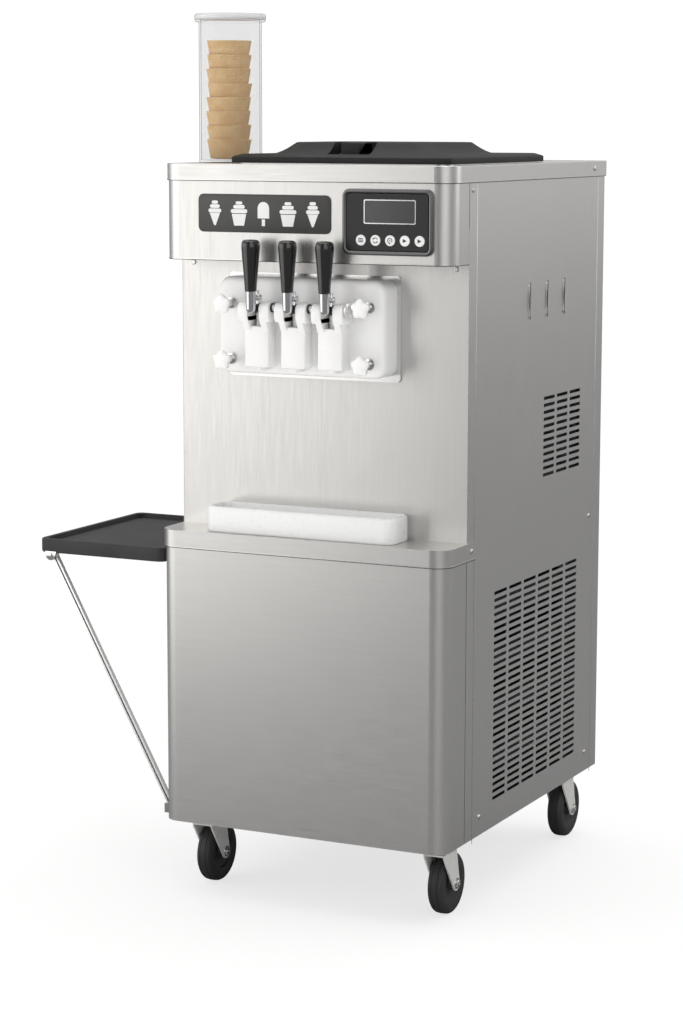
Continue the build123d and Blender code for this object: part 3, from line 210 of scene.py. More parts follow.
# %% Helpers for finishes
def finish(name, colour, roughness, **values):
    """A material with one Principled shader, returned with its node tree and shader."""
    material = bpy.data.materials.new(name)
    material.use_nodes = True
    tree = material.node_tree
    shader = tree.nodes["Principled BSDF"]
    shader.inputs["Base Color"].default_value = (*colour, 1)
    shader.inputs["Roughness"].default_value = roughness
    for socket, value in values.items():
        shader.inputs[socket.replace("_", " ")].default_value = value
    material.diffuse_color = (*colour, 1)
    return material, tree, shader


def noise(tree, scale, stretch=(1, 1, 1), detail=3.0, kind="ShaderNodeTexNoise"):
    """A noise in object space: scale is features per metre, stretch slows it down along an axis."""
    place = tree.nodes.new("ShaderNodeTexCoord")
    mapping = graph(tree, "ShaderNodeMapping", Scale=stretch)
    texture = graph(tree, kind, Scale=scale)
    if "Detail" in texture.inputs:
        texture.inputs["Detail"].default_value = detail
    tree.links.new(place.outputs["Object"], mapping.inputs["Vector"])
    tree.links.new(mapping.outputs["Vector"], texture.inputs["Vector"])
    return texture


def ramp(tree, source, low, high, start=0.3, end=0.7):
    """Turn a grey value into a run between two numbers or two colours."""
    if isinstance(low, tuple):
        node = tree.nodes.new("ShaderNodeValToRGB")
        node.color_ramp.elements[0].position, node.color_ramp.elements[1].position = start, end
        node.color_ramp.elements[0].color, node.color_ramp.elements[1].color = (*low, 1), (*high, 1)
        tree.links.new(source, node.inputs["Fac"])
        return node.outputs["Color"]
    node = graph(tree, "ShaderNodeMapRange", From_Min=start, From_Max=end, To_Min=low, To_Max=high)
    tree.links.new(source, node.inputs["Value"])
    return node.outputs["Result"]


def bump(tree, shader, height, depth, strength=1.0, after=None):
    """Raise a surface by a height in metres, on top of another bump if one is given."""
    node = graph(tree, "ShaderNodeBump", Distance=depth, Strength=strength)
    tree.links.new(height, node.inputs["Height"])
    if after is not None:
        tree.links.new(after.outputs["Normal"], node.inputs["Normal"])
    tree.links.new(node.outputs["Normal"], shader.inputs["Normal"])
    return node


print("helpers ready")

# %% [markdown]
# The cabinet is brushed stainless sheet. Its grain is made of very long thin scratches, so one noise is
# stretched about eighty times along the brushing, and it changes the roughness, which is what makes brushed
# steel look silky and not grey. A second, broader one shifts the tone a little between bands, and a third,
# very slow one clouds it.

# %% Brushed stainless steel
def brushed(name, grain_axis, colour=(0.74, 0.73, 0.71), roughness=0.34):
    """Stainless sheet brushed along x, y or z."""
    material, tree, shader = finish(name, colour, roughness, Metallic=1.0)
    hair_stretch, band_stretch = (
        tuple(slow if axis == grain_axis else 1.0 for axis in "xyz") for slow in (0.012, 0.03))
    hair = noise(tree, 1400, hair_stretch, 2.0)
    bands = noise(tree, 230, band_stretch, 4.0)
    cloud = noise(tree, 3.2, detail=2.0)
    tone = tree.nodes.new("ShaderNodeMix")
    tone.data_type = "RGBA"
    tone.inputs["Factor"].default_value = 0.35
    dark = tuple(c * 0.965 for c in colour)
    light = tuple(min(1.0, c * 1.025) for c in colour)
    tree.links.new(ramp(tree, bands.outputs["Fac"], dark, light, 0.25, 0.75), tone.inputs["A"])
    tree.links.new(ramp(tree, cloud.outputs["Fac"], dark, light, 0.3, 0.7), tone.inputs["B"])
    tree.links.new(tone.outputs["Result"], shader.inputs["Base Color"])
    tree.links.new(ramp(tree, hair.outputs["Fac"], roughness - 0.06, roughness + 0.09),
                   shader.inputs["Roughness"])
    fine = bump(tree, shader, hair.outputs["Fac"], 0.00006, 0.5)
    bump(tree, shader, bands.outputs["Fac"], 0.0001, 0.06, fine)
    return material


STEEL_UPRIGHT = brushed("steel_brushed_upright", "z")
STEEL_LEVEL = brushed("steel_brushed_level", "x")
STEEL_DEEP = brushed("steel_brushed_deep", "y")
print("brushed steel", STEEL_UPRIGHT.name, STEEL_LEVEL.name, STEEL_DEEP.name)

# %% [markdown]
# Hidden and small metal parts: spangled zinc sheet inside, bright screws, polished rods and caster forks in
# zinc plate. A Voronoi texture gives the spangle its crystal flakes.

# %% Other metals
def metal(name, colour, roughness, scale=220, depth=0.00005, change=0.1, flakes=False, metallic=1.0):
    """A plain metal with a cloudy or flaky roughness and a very shallow bump."""
    material, tree, shader = finish(name, colour, roughness, Metallic=metallic)
    kind = "ShaderNodeTexVoronoi" if flakes else "ShaderNodeTexNoise"
    texture = noise(tree, scale, kind=kind)
    grey = texture.outputs["Color" if flakes else "Fac"]
    dark = tuple(c * (0.8 if flakes else 0.9) for c in colour)
    tree.links.new(ramp(tree, grey, dark, colour, 0.2, 0.8), shader.inputs["Base Color"])
    tree.links.new(ramp(tree, grey, roughness - change / 2, roughness + change / 2),
                   shader.inputs["Roughness"])
    bump(tree, shader, texture.outputs["Distance" if flakes else "Fac"], depth, 0.4)
    return material


GALVANISED = metal("galvanised_sheet", (0.42, 0.43, 0.44), 0.46, 90, 0.0001, 0.16, True)
SCREW_BRIGHT = metal("bright_screws", (0.74, 0.73, 0.71), 0.24, 600)
POLISHED = metal("polished_steel_parts", (0.76, 0.76, 0.75), 0.16, 400)
CHROME = metal("chrome_rods", (0.82, 0.82, 0.83), 0.07, 300, 0.00002, 0.04)
ZINC = metal("zinc_plate", (0.74, 0.73, 0.71), 0.42, 160, 0.0001, 0.14, True, 0.4)
# The condenser fins are near black as painted shade, so that the cabinet's inside reads dark through the
# vents.
FIN_PAINTED_SHADE = metal("fins_dark_as_painted_shade", (0.05, 0.05, 0.052), 0.6, 300, metallic=0.3)
SATIN = metal("satin_bar", (0.86, 0.85, 0.83), 0.36, 300, metallic=0.6)
print("metals", len([m for m in bpy.data.materials if m.node_tree]))

# %% [markdown]
# Moulded plastic is never quite smooth. A faint orange-peel noise breaks up its highlight, a slow noise
# changes its tone by a percent or two, and a coat gives the glossy kinds their second, sharper reflection.

# %% Plastics
def moulded(name, colour, roughness, grain=900, depth=0.00008, change=0.05, **values):
    """A moulded plastic, rubber or paint with a fine grain."""
    material, tree, shader = finish(name, colour, roughness, **values)
    fine = noise(tree, grain, detail=4.0)
    slow = noise(tree, 14, detail=2.0)
    dark = tuple(c * (1 - change) for c in colour)
    light = tuple(min(1.0, c * (1 + change)) for c in colour)
    tree.links.new(ramp(tree, slow.outputs["Fac"], dark, light), shader.inputs["Base Color"])
    tree.links.new(ramp(tree, fine.outputs["Fac"], max(0.02, roughness - 0.05), roughness + 0.05),
                   shader.inputs["Roughness"])
    bump(tree, shader, fine.outputs["Fac"], depth, 0.3)
    return material


WHITE_BLOCK = moulded("white_food_plastic", (0.86, 0.855, 0.85), 0.32, 160, 0.000004, 0.008,
                      Coat_Weight=0.3, Coat_Roughness=0.12)
WHITE_TRAY = moulded("white_tray_plastic", (0.8, 0.8, 0.8), 0.3, 120, 0.000003, 0.006,
                     Coat_Weight=0.3, Coat_Roughness=0.1)
KEY_WHITE = moulded("white_keys", (0.8, 0.8, 0.79), 0.35, 900, 0.00005, 0.03)
GRIP_BLACK = moulded("black_grips", (0.009, 0.009, 0.009), 0.16, 300, 0.00003, 0.1,
                     Coat_Weight=0.6, Coat_Roughness=0.06)
BLACK_PLASTIC_AND_SLOT_SHADE = moulded("black_plastic_parts_and_slot_shade", (0.03, 0.03, 0.031), 0.42)
LID_BLACK = moulded("black_grained_lid", (0.018, 0.0175, 0.017), 0.58, 1300, 0.0003, 0.12,
                    Specular_IOR_Level=0.25)
PLATE_GREY_AND_GROOVE_SHADE = moulded("grey_plate_paint_and_groove_shade", (0.045, 0.044, 0.043), 0.42, 700, 0.00005, 0.06)
BEZEL_BLACK = moulded("dark_bezel", (0.05, 0.05, 0.052), 0.36, 800)
FOIL_AND_SEAM_SHADOW_BLACK = moulded("black_control_foil_and_seam_shadow", (0.012, 0.012, 0.012), 0.42, 1200, 0.00004, 0.06)
SHELF_GREY = moulded("grey_textured_shelf", (0.04, 0.039, 0.039), 0.6, 1100, 0.0003, 0.1,
                     Specular_IOR_Level=0.25)
TYRE = moulded("black_tyre_rubber", (0.022, 0.022, 0.023), 0.55, 700, 0.00025, 0.15)
MACHINE_PAINT = moulded("dark_machine_paint", (0.03, 0.034, 0.04), 0.35, 300, 0.0001, 0.1)
print("plastics and paints ready")

# %% [markdown]
# The dispenser tube is clear acrylic with a thin wall. A thin wall hardly bends the light, so it is made
# with alpha, not with refraction: nearly clear where it is seen square on, darker where it is seen edge on.

# %% Clear acrylic
CLEAR, clear_tree, clear_shader = finish("clear_acrylic", (0.3, 0.31, 0.31), 0.04, IOR=1.49)
edge_on = graph(clear_tree, "ShaderNodeLayerWeight", Blend=0.5)
clear_tree.links.new(ramp(clear_tree, edge_on.outputs["Facing"], 0.1, 0.95, 0.72, 0.97),
                     clear_shader.inputs["Alpha"])
ripple = noise(clear_tree, 30, (1, 1, 0.1), 1.0)
bump(clear_tree, clear_shader, ripple.outputs["Fac"], 0.0002, 0.1)
RIM_FROST = moulded("frosted_acrylic_rim", (0.82, 0.82, 0.82), 0.2, 400, 0.00001, 0.02, Alpha=0.72)
print("acrylic ready")

# %% [markdown]
# The CAD nodes arrive with one plain material per slot. Each slot name is swapped for its finish, and the
# lower front and the ledge get the steel that is brushed from side to side.

# %% Finishes for the CAD nodes
FINISH_OF_SLOT = {
    "stainless": STEEL_UPRIGHT, "galvanised_steel": GALVANISED, "screw_steel": SCREW_BRIGHT,
    "polished_steel": POLISHED, "zinc_steel": ZINC, "chrome": CHROME, "fin_aluminium": FIN_PAINTED_SHADE,
    "machine_paint": MACHINE_PAINT, "white_plastic": WHITE_BLOCK, "button_white": KEY_WHITE,
    "grip_black": GRIP_BLACK, "black_plastic": BLACK_PLASTIC_AND_SLOT_SHADE, "lid_black": LID_BLACK, "plate_grey": PLATE_GREY_AND_GROOVE_SHADE,
    "bezel_grey": BEZEL_BLACK, "control_black": FOIL_AND_SEAM_SHADOW_BLACK, "clear_plastic": CLEAR,
    "shelf_grey": SHELF_GREY, "wheel_rubber": TYRE,
}
SIDEWAYS = ("lower_front_panel", "ledge", "top_cover")
for name, item in cad.items():
    for holder in item.material_slots:
        slot_name = holder.material.name.split(".")[0]
        holder.material = STEEL_LEVEL if name in SIDEWAYS else FINISH_OF_SLOT[slot_name]
print("finishes set on", len(cad), "nodes")

# %% [markdown]
# Detailed pieces are worked out as bmesh in cabinet millimetres and turned into metres once, at the end. Two
# ways cover nearly every part here: a loft, which skins a list of rings and closes both ends, and a turned
# body, which is a loft whose rings are circles round an axis.

# %% Helpers for pieces
def loft(work, rings, close=False):
    """Skin rings of equal point count; the two ends are capped, or joined to each other to make a tube."""
    rows = [[work.verts.new(point) for point in ring] for ring in rings]
    count = len(rings[0])
    pairs = list(zip(rows, rows[1:])) + ([(rows[-1], rows[0])] if close else [])
    for lower, upper in pairs:
        for i in range(count):
            j = (i + 1) % count
            work.faces.new((lower[i], lower[j], upper[j], upper[i]))
    if not close:
        work.faces.new(list(reversed(rows[0])))
        work.faces.new(rows[-1])
    return rows


def turned(work, profile, centre, axis="z", steps=48, close=False, lobes=0, lobe_depth=0.0):
    """A body of revolution from (radius, height) pairs; lobes wave its radius for a star-shaped knob."""
    rings = []
    for radius, height in profile:
        ring = []
        for i in range(steps):
            angle = 2 * math.pi * i / steps
            wave = 1 + lobe_depth * (math.cos(lobes * angle) - 1) / 2
            u, v = radius * wave * math.cos(angle), radius * wave * math.sin(angle)
            offset = {"z": (u, v, height), "y": (v, height, u), "x": (height, u, v)}[axis]
            ring.append(Vector(centre) + Vector(offset))
        rings.append(ring)
    return loft(work, rings, close)


def rounded_ring(u_span, v_span, radius, place, steps=8):
    """A rectangle with round corners as a list of points; place turns (u, v) into a point."""
    (u0, u1), (v0, v1) = u_span, v_span
    corners = ((u1 - radius, v1 - radius, 0), (u0 + radius, v1 - radius, 90),
               (u0 + radius, v0 + radius, 180), (u1 - radius, v0 + radius, 270))
    points = []
    for u, v, start in corners:
        for i in range(steps + 1):
            angle = math.radians(start + 90 * i / steps)
            points.append(place(u + radius * math.cos(angle), v + radius * math.sin(angle)))
    return points


def slab(work, outline, low, high, place, soft=0.0, segments=3):
    """Extrude an outline of (u, v) points from low to high; place(u, v, w) gives each point.

    A soft above 0 rounds every edge by that much.
    """
    lower = [work.verts.new(place(u, v, low)) for u, v in outline]
    upper = [work.verts.new(place(u, v, high)) for u, v in outline]
    faces = [work.faces.new(lower), work.faces.new(list(reversed(upper)))]
    for i in range(len(outline)):
        j = (i + 1) % len(outline)
        faces.append(work.faces.new((lower[i], upper[i], upper[j], lower[j])))
    if soft:
        edges = list({edge for face in faces for edge in face.edges})
        bmesh.ops.bevel(work, geom=edges, offset=soft, segments=segments, profile=0.5, affect="EDGES",
                        clamp_overlap=True)


def settle(name, work, material, body, stands_for=(), crease=38):
    """Finish a mesh worked out in cabinet millimetres: metres, outward faces, shading, body and slot."""
    bmesh.ops.remove_doubles(work, verts=work.verts, dist=0.0005)
    bmesh.ops.recalc_face_normals(work, faces=work.faces)
    for vertex in work.verts:
        vertex.co = at(*vertex.co)
    mesh = bpy.data.meshes.new(name)
    work.to_mesh(mesh)
    work.free()
    mesh.shade_smooth()
    mesh.set_sharp_from_angle(angle=math.radians(crease))
    mesh.materials.append(material)
    made = bpy.data.objects.new(name, mesh)
    scene.collection.objects.link(made)
    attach(made, body)
    if stands_for:
        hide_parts(*stands_for)
    print(name, len(mesh.polygons), "faces on", body)
    return made


def hexagon(u, v, radius, turn=0):
    """Outline of a hexagon nut, turned by an angle in degrees."""
    angles = [math.radians(60 * i + turn) for i in range(6)]
    return [(u + radius * math.cos(a), v + radius * math.sin(a)) for a in angles]


SIDES = ("left", "middle", "right")
from_front = lambda u, v, w: (u, w, v)      # u = x, v = z, extruded along y
from_side = lambda u, v, w: (w, u, v)       # u = y, v = z, extruded along x
from_above = lambda u, v, w: (u, v, w)      # u = x, v = y, extruded along z

# %% [markdown]
# The head is one machined block of white food plastic. Its edges are rounded over by hand after milling, so
# every edge of the block, the valve bodies and their ears gets a small bevel. The ears are separate slabs
# with a side profile: straight up at the back, a bevel below and a big radius at the top front. Between each
# pair of ears a slot runs down, so that the lever's hub and rod can swing in it.

# %% Dispensing head
head_low, head_high = node_box("head_block")
HEAD_X = ((head_low + head_high) / 2).x
HEAD_TOP = head_high.z
BLOCK_X = (HEAD_X - 160, HEAD_X + 158)
BLOCK_Z = (HEAD_TOP - 163, HEAD_TOP + 4)
VALVE_PITCH = 70
VALVE_XS = {side: HEAD_X + VALVE_PITCH * step for side, step in zip(SIDES, (-1, 0, 1))}
SLOT_HALF, SLOT_FOOT = 11, 1026
PIVOT = (0, -82, 1058)
head = bmesh.new()
rings = []
for inset, y in ((0, -3), (0, -44), (0.6, -47.5), (2.2, -50.6), (4.6, -53), (7.5, -54.4), (11, -55)):
    rings.append(rounded_ring((BLOCK_X[0] + inset, BLOCK_X[1] - inset),
                              (BLOCK_Z[0] + inset, BLOCK_Z[1] - inset), 22 - inset / 2,
                              lambda u, v, y=y: (u, y, v)))
loft(head, rings)
neck_line = [(-83, 1018), (-95.2, 1039.5), (-95.2, 1044), (-50, 1044), (-50, 1018)]
arc = [(-86 - 10 * math.sin(a), 1057 + 10 * math.cos(a)) for a in (math.pi / 2 * i / 5 for i in range(6))]
ear_line = [(-50, 1067)] + arc + [(-96, 1041), (-92, 1034), (-50, 1034)]
for x in VALVE_XS.values():
    body_line = [(x - 23, 955), (x + 23, 955), (x + 23, SLOT_FOOT), (x - 23, SLOT_FOOT)]
    slab(head, body_line, -50, -83, from_front, 2.6, 4)
    for sign in (-1, 1):
        slab(head, neck_line, x + sign * SLOT_HALF, x + sign * 23.2, from_side, 1.2, 3)
    for sign in (-1, 1):
        slab(head, ear_line, x + sign * SLOT_HALF, x + sign * 29.5, from_side, 1.3, 3)
    turned(head, [(8.9, 949), (9.7, 949.6), (9.7, 957)], (x, -64, 0), steps=32)
settle("dispensing_head", head, WHITE_BLOCK, "cabinet", ("head_block",))

# %% [markdown]
# The pivot bar shows between the ears as a pale satin tube with a dark collar at each ear and a round cap at
# its right end. A thin dark plate at the back of each lever's slot is painted shade, so the slot looks deep
# and shaded.

# %% Pivot bar and lever slots
bar = bmesh.new()
left_end, right_end = VALVE_XS["left"] - 31, VALVE_XS["right"] + 30
turned(bar, [(4.5, left_end), (5.8, left_end + 1), (5.8, right_end + 2)], PIVOT, "x", 32)
cap_line = [(0.1, 0), (11, 0), (14, 1.2), (15, 3.6), (15, 6), (14, 8.2), (11.5, 9.4), (6, 9.8), (5, 8.6),
            (0.1, 8.4)]
turned(bar, [(r, right_end + 1 + h) for r, h in cap_line], PIVOT, "x", 40)
settle("pivot_bar", bar, SATIN, "cabinet", ("pivot_shaft",))
collars_and_slot_shade = bmesh.new()
for x in VALVE_XS.values():
    for sign in (-1, 1):
        middle = x + sign * 31.2
        turned(collars_and_slot_shade, [(5.5, middle - 1.6), (8, middle - 1.3), (8, middle + 1.3), (5.5, middle + 1.6)],
               PIVOT, "x", 28)
    # A thin black plate at the back of the slot: painted shade that makes the slot look deep.
    slot_shade_line = [(x - 10.9, SLOT_FOOT + 0.2), (x + 10.9, SLOT_FOOT + 0.2), (x + 10.9, 1066), (x - 10.9, 1066)]
    slab(collars_and_slot_shade, slot_shade_line, -55.2, -57.2, from_front)
settle("pivot_collars_and_slot_shade", collars_and_slot_shade, BLACK_PLASTIC_AND_SLOT_SHADE, "cabinet")

# %% [markdown]
# Each lever is a short chromed rod with a rounded lower end, a black hub on the pivot bar, and an adjusting
# screw with a hexagon nut and a washer that stands up behind the rod. The handle is turned from black
# phenolic: narrow at the rod, widest near the top, then domed.

# %% Levers and handles
ROD_Y = -103
SCREW_SHIFT, SCREW_Y = 3.5, -84         # the adjusting screw stands a little to the right, behind the rod
arm_line = [(ROD_Y, 1052.5), (-88, 1052), (-88, 1064), (ROD_Y, 1063.5)]
finger_line = [(-75, 1056), (-61, 1055), (-61, 1061), (-75, 1060)]
dome = [(8.2 * math.sin(a), 1057 - 8.2 * math.cos(a)) for a in (math.pi / 2 * i / 8 for i in range(9))]
dome[0] = (0.05, dome[0][1])
grip_line = [(0.05, 1085.8), (8.6, 1085.8), (9.9, 1086.4), (10.2, 1088), (11.1, 1102), (12.4, 1118),
             (13.9, 1134), (15.3, 1150), (16.0, 1158), (16.2, 1163), (15.7, 1168), (14.0, 1171.6),
             (11.0, 1173.3), (6.5, 1174), (0.05, 1174.1)]
for side, x in VALVE_XS.items():
    rod = bmesh.new()
    screw = (x + SCREW_SHIFT, SCREW_Y, 0)
    turned(rod, dome + [(8.4, 1066), (8.8, 1080), (8.8, 1087)], (x, ROD_Y, 0), steps=40)
    turned(rod, [(2.9, 1056), (2.9, 1086), (2.2, 1087)], screw, steps=20)
    turned(rod, [(7.6, 1077.4), (8, 1078), (8, 1079.2), (7.6, 1079.8)], screw, steps=32)
    slab(rod, hexagon(x + SCREW_SHIFT, SCREW_Y, 7.2, 12), 1070, 1077.2, from_above, 0.6, 2)
    settle("lever_rod_" + side, rod, CHROME, "lever_" + side, ("lever_" + side,))
    hub = bmesh.new()
    turned(hub, [(5.06, x - 7), (7.5, x - 7), (7.5, x + 7), (5.06, x + 7)], PIVOT, "x", 32, close=True)
    slab(hub, arm_line, x - 5, x + 5, from_side, 1)
    slab(hub, finger_line, x - 4, x + 4, from_side, 1)
    settle("lever_hub_" + side, hub, BLACK_PLASTIC_AND_SLOT_SHADE, "lever_" + side)
    grip = bmesh.new()
    turned(grip, grip_line, (x, ROD_Y, 0), steps=56)
    settle("handle_" + side, grip, GRIP_BLACK, "lever_" + side, ("grip_" + side,), crease=60)

# %% [markdown]
# Four hand knobs clamp the head to its studs. Each is a white five-lobed moulding with slightly hollow
# sides: a turned body whose radius waves five times round. Behind it a steel sleeve and a washer reach to
# the block.

# %% Hand knobs
KNOBS = {"top_left": (-132, 1062), "top_right": (132, 1062),        # x from the middle of the head, z
         "bottom_left": (-132, 966), "bottom_right": (132, 966)}
cap_line = [(0.05, -98.4), (9, -98.2), (14, -97.6), (16.6, -96.6), (17.4, -95), (17.2, -93.6), (0.05, -93.4)]
for name, (dx, z) in KNOBS.items():
    x = HEAD_X + dx
    knob = bmesh.new()
    turned(knob, cap_line, (x, 0, z), "y", 100, lobes=5, lobe_depth=0.2)
    settle("knob_cap_" + name, knob, WHITE_BLOCK, "knob_" + name, ("knob_" + name,),
           crease=50)
    sleeve = bmesh.new()
    slab(sleeve, hexagon(x, z, 8), -85.4, -76, from_front, 0.6, 2)
    turned(sleeve, [(0.05, -93.5), (16.9, -93.5), (16.9, -90.5), (15.6, -87), (12, -85), (0.05, -84.6)],
           (x, 0, z), "y", 100, lobes=5, lobe_depth=0.2)
    turned(sleeve, [(6, -76.5), (6, -60), (9.6, -59), (9.6, -56.2), (6, -55.6)], (x, 0, z), "y", 32)
    settle("knob_sleeve_" + name, sleeve, POLISHED, "knob_" + name)

# %% [markdown]
# The name plate carries no words. A row of plain pictograms stands in its place: a soft-serve cone, a cup
# and an ice on a stick. Each is a few flat outlines raised by less than a millimetre.

# %% Name plate with pictograms
plate_low, plate_high = node_box("nameplate")
plate = bmesh.new()
rings = []
for inset, y in ((0, -70.05), (0, -71.6), (0.5, -72.2), (1.2, -72.5)):
    rings.append(rounded_ring((plate_low.x + inset, plate_high.x - inset),
                              (plate_low.z + inset, plate_high.z - inset), 10 - inset,
                              lambda u, v, y=y: (u, y, v)))
loft(plate, rings)
settle("name_plate", plate, PLATE_GREY_AND_GROOVE_SHADE, "cabinet", ("nameplate",))


def pill(u, v, half_width, half_height, steps=8):
    """Outline of a bar with round ends."""
    reach = half_width - half_height
    right = [(u + reach + half_height * math.cos(a), v + half_height * math.sin(a))
             for a in (math.pi * (i / steps - 0.5) for i in range(steps + 1))]
    return right + [(2 * u - px, 2 * v - py) for px, py in right]


def cone_sign(u, v):
    return [[(u - 10, v - 1), (u + 10, v - 1), (u + 1.5, v - 22), (u - 1.5, v - 22)],
            pill(u, v + 3, 12.5, 3.4), pill(u, v + 10.5, 9.5, 3.2), pill(u, v + 17.3, 6, 2.8)]


def cup_sign(u, v):
    return [[(u - 14, v - 2), (u + 14, v - 2), (u + 9.5, v - 22), (u - 9.5, v - 22)],
            pill(u, v + 2.6, 16, 3.4), pill(u, v + 10, 11, 3.2), pill(u, v + 16.6, 6.5, 2.6)]


def stick_sign(u, v):
    arc = [(u + 11 * math.cos(a), v + 8 + 11 * math.sin(a)) for a in (math.pi * i / 12 for i in range(13))]
    stick = [(u - 3, v - 10.5), (u - 3, v - 22), (u + 3, v - 22), (u + 3, v - 10.5)]
    return [[(u + 11, v - 9)] + arc + [(u - 11, v - 9)], stick]


SIGN_START, SIGN_PITCH = 33, 47
signs = bmesh.new()
middle_z = (plate_low.z + plate_high.z) / 2 + 1
for i, sign in enumerate((cone_sign, cup_sign, stick_sign, cup_sign, cone_sign)):
    for outline in sign(plate_low.x + SIGN_START + SIGN_PITCH * i, middle_z):
        slab(signs, outline, -72.3, -73.2, from_front)
settle("plate_pictograms", signs, KEY_WHITE, "cabinet")

# %% [markdown]
# The control panel is a satin frame with a dark foil, a display window in a thin bright line, and five round
# keys. The signs on the keys are the usual ones: lines for the menu, arrows for the mode, a ring for the
# cycle and two triangles for start.

# %% Control frame and display
FRAME_SATIN = metal("satin_control_frame", (0.2, 0.2, 0.2), 0.34, 500)
DISPLAY = moulded("display_glass", (0.045, 0.046, 0.047), 0.12, 400, 0.00001, 0.04)
bezel_low, bezel_high = node_box("control_bezel")
frame_ring = bmesh.new()
rings = []
for inset, y in ((0, -70.02), (0, -74.2), (0.8, -75.6), (2.2, -76.2), (4.6, -76.2), (6.2, -75.4),
                 (7.4, -73.4), (8.1, -70.02)):
    rings.append(rounded_ring((bezel_low.x + inset, bezel_high.x - inset),
                              (bezel_low.z + inset, bezel_high.z - inset), 13 - inset,
                              lambda u, v, y=y: (u, y, v)))
loft(frame_ring, rings, close=True)
settle("control_frame", frame_ring, FRAME_SATIN, "cabinet", ("control_bezel",))
window_x = (bezel_low.x + 42, bezel_high.x - 32)
window_z = (1205, 1242)
line_ring = bmesh.new()
rings = [rounded_ring((window_x[0] - grow, window_x[1] + grow), (window_z[0] - grow, window_z[1] + grow), 2.5,
                      lambda u, v, y=y: (u, y, v), 4)
         for grow, y in ((0, -74.0), (0, -75.1), (1.7, -75.1), (1.7, -74.0))]
loft(line_ring, rings, close=True)
settle("display_border", line_ring, POLISHED, "cabinet")
glass = bmesh.new()
slab(glass, [(window_x[0], window_z[0]), (window_x[1], window_z[0]), (window_x[1], window_z[1]),
             (window_x[0], window_z[1])], -73.2, -74.3, from_front)
settle("display_glass", glass, DISPLAY, "cabinet")

# %% Signs on the keys
SIGN_BLACK = moulded("key_sign_print", (0.02, 0.02, 0.02), 0.45)
key_middle = (bezel_low.x + bezel_high.x) / 2 + 6
KEY_PITCH, KEY_Z = 27, 1176


def band(u, v, radius, width, start, end, steps=14):
    """Outline of part of a ring, between two angles in degrees."""
    angles = [math.radians(start + (end - start) * i / steps) for i in range(steps + 1)]
    outer = [(u + (radius + width / 2) * math.cos(a), v + (radius + width / 2) * math.sin(a)) for a in angles]
    inner = [(u + (radius - width / 2) * math.cos(a), v + (radius - width / 2) * math.sin(a)) for a in angles]
    return outer + inner[::-1]


def arrow(u, v, size, angle):
    """A small triangle that points along an angle in degrees."""
    turn = math.radians(angle)
    corners = ((size, 0), (-size * 0.7, size * 0.8), (-size * 0.7, -size * 0.8))
    return [(u + a * math.cos(turn) - b * math.sin(turn), v + a * math.sin(turn) + b * math.cos(turn))
            for a, b in corners]


def key_signs(u, v):
    bars = [pill(u, v + dz, 4.6, 0.7, 4) for dz in (-2.6, 0, 2.6)]
    mode = [band(u, v, 4.2, 1.2, 20, 140), band(u, v, 4.2, 1.2, 200, 320), arrow(u - 3.6, v + 2.4, 2, 235),
            arrow(u + 3.6, v - 2.4, 2, 55)]
    cycle = [band(u, v, 4, 1.3, -40, 250), arrow(u - 0.8, v - 4.2, 2, 160), pill(u, v, 1.1, 1.09, 8)]
    return {"menu": bars, "mode": mode, "cycle": cycle, "start_left": [arrow(u - 0.3, v, 4.2, 0)],
            "start_right": [arrow(u - 0.3, v, 4.2, 0)]}


for i, key in enumerate(("menu", "mode", "cycle", "start_left", "start_right")):
    key_face = node_box("button_" + key)[0].y
    print_work = bmesh.new()
    for outline in key_signs(key_middle + KEY_PITCH * (i - 2), KEY_Z)[key]:
        slab(print_work, outline, key_face + 0.1, key_face - 0.12, from_front)
    settle("key_sign_" + key, print_work, SIGN_BLACK, "button_" + key)

# %% [markdown]
# The drip tray is one white moulding with a soft rim. It is a loft of rounded rectangles: up the outside,
# over the rim and down into the trough, which has sloped walls so that it can be wiped out. The moulding is a
# little longer and taller than the measured tray.

# %% Drip tray
TRAY_LEFT, TRAY_RIGHT, TRAY_LIFT = 3, 7, 5
tray_low, tray_high = node_box("drip_tray")
tray_low.x -= TRAY_LEFT
tray_high += Vector((TRAY_RIGHT, 0, TRAY_LIFT))
tray = bmesh.new()
top = tray_high.z
rings = []
for inset, z in ((2, tray_low.z), (0.4, tray_low.z + 1.5), (0, tray_low.z + 4), (0, top - 6), (0.7, top - 3),
                 (2.2, top - 1), (4.2, top), (6.2, top), (8.2, top - 1), (9.6, top - 3.4), (12, top - 20),
                 (14, top - 28), (18, top - 31)):
    rings.append(rounded_ring((tray_low.x + inset, tray_high.x - inset),
                              (tray_low.y + inset, tray_high.y - inset), max(5, 20 - inset * 0.6),
                              lambda u, v, z=z: (u, v, z)))
loft(tray, rings)
settle("drip_tray_moulding", tray, WHITE_TRAY, "tray", ("drip_tray",), crease=50)

# %% [markdown]
# Wafer cups wait in the clear tube. One cup is turned plain, and its material raises a diamond lattice round
# the tube's axis, like the one a baking iron leaves. Geometry Nodes then stack the cup: a line of points, one
# cup on each, with a small random turn and shift so that the pile leans as a real one does.

# %% One wafer cup
WAFER, wafer_tree, wafer_shader = finish("baked_wafer", (0.9, 0.62, 0.3), 0.62)
tube_low, tube_high = node_box("cone_tube")
tube_x, tube_y = (tube_low.x + tube_high.x) / 2, (tube_low.y + tube_high.y) / 2
tube_axis = at(tube_x, tube_y, 0)
LATTICE_ROUND, LATTICE_UP = 24, 640     # how fast the lattice runs with the angle and with the height
toast = noise(wafer_tree, 60, detail=4.0)
crumb = noise(wafer_tree, 900, detail=3.0)


def figure(operation, first, second=None):
    """A math node fed by sockets or plain numbers; returns its output."""
    added = wafer_tree.nodes.new("ShaderNodeMath")
    added.operation = operation
    for slot, value in zip(added.inputs, (first, second)):
        if isinstance(value, (int, float)):
            slot.default_value = value
        elif value is not None:
            wafer_tree.links.new(value, slot)
    return added.outputs[0]


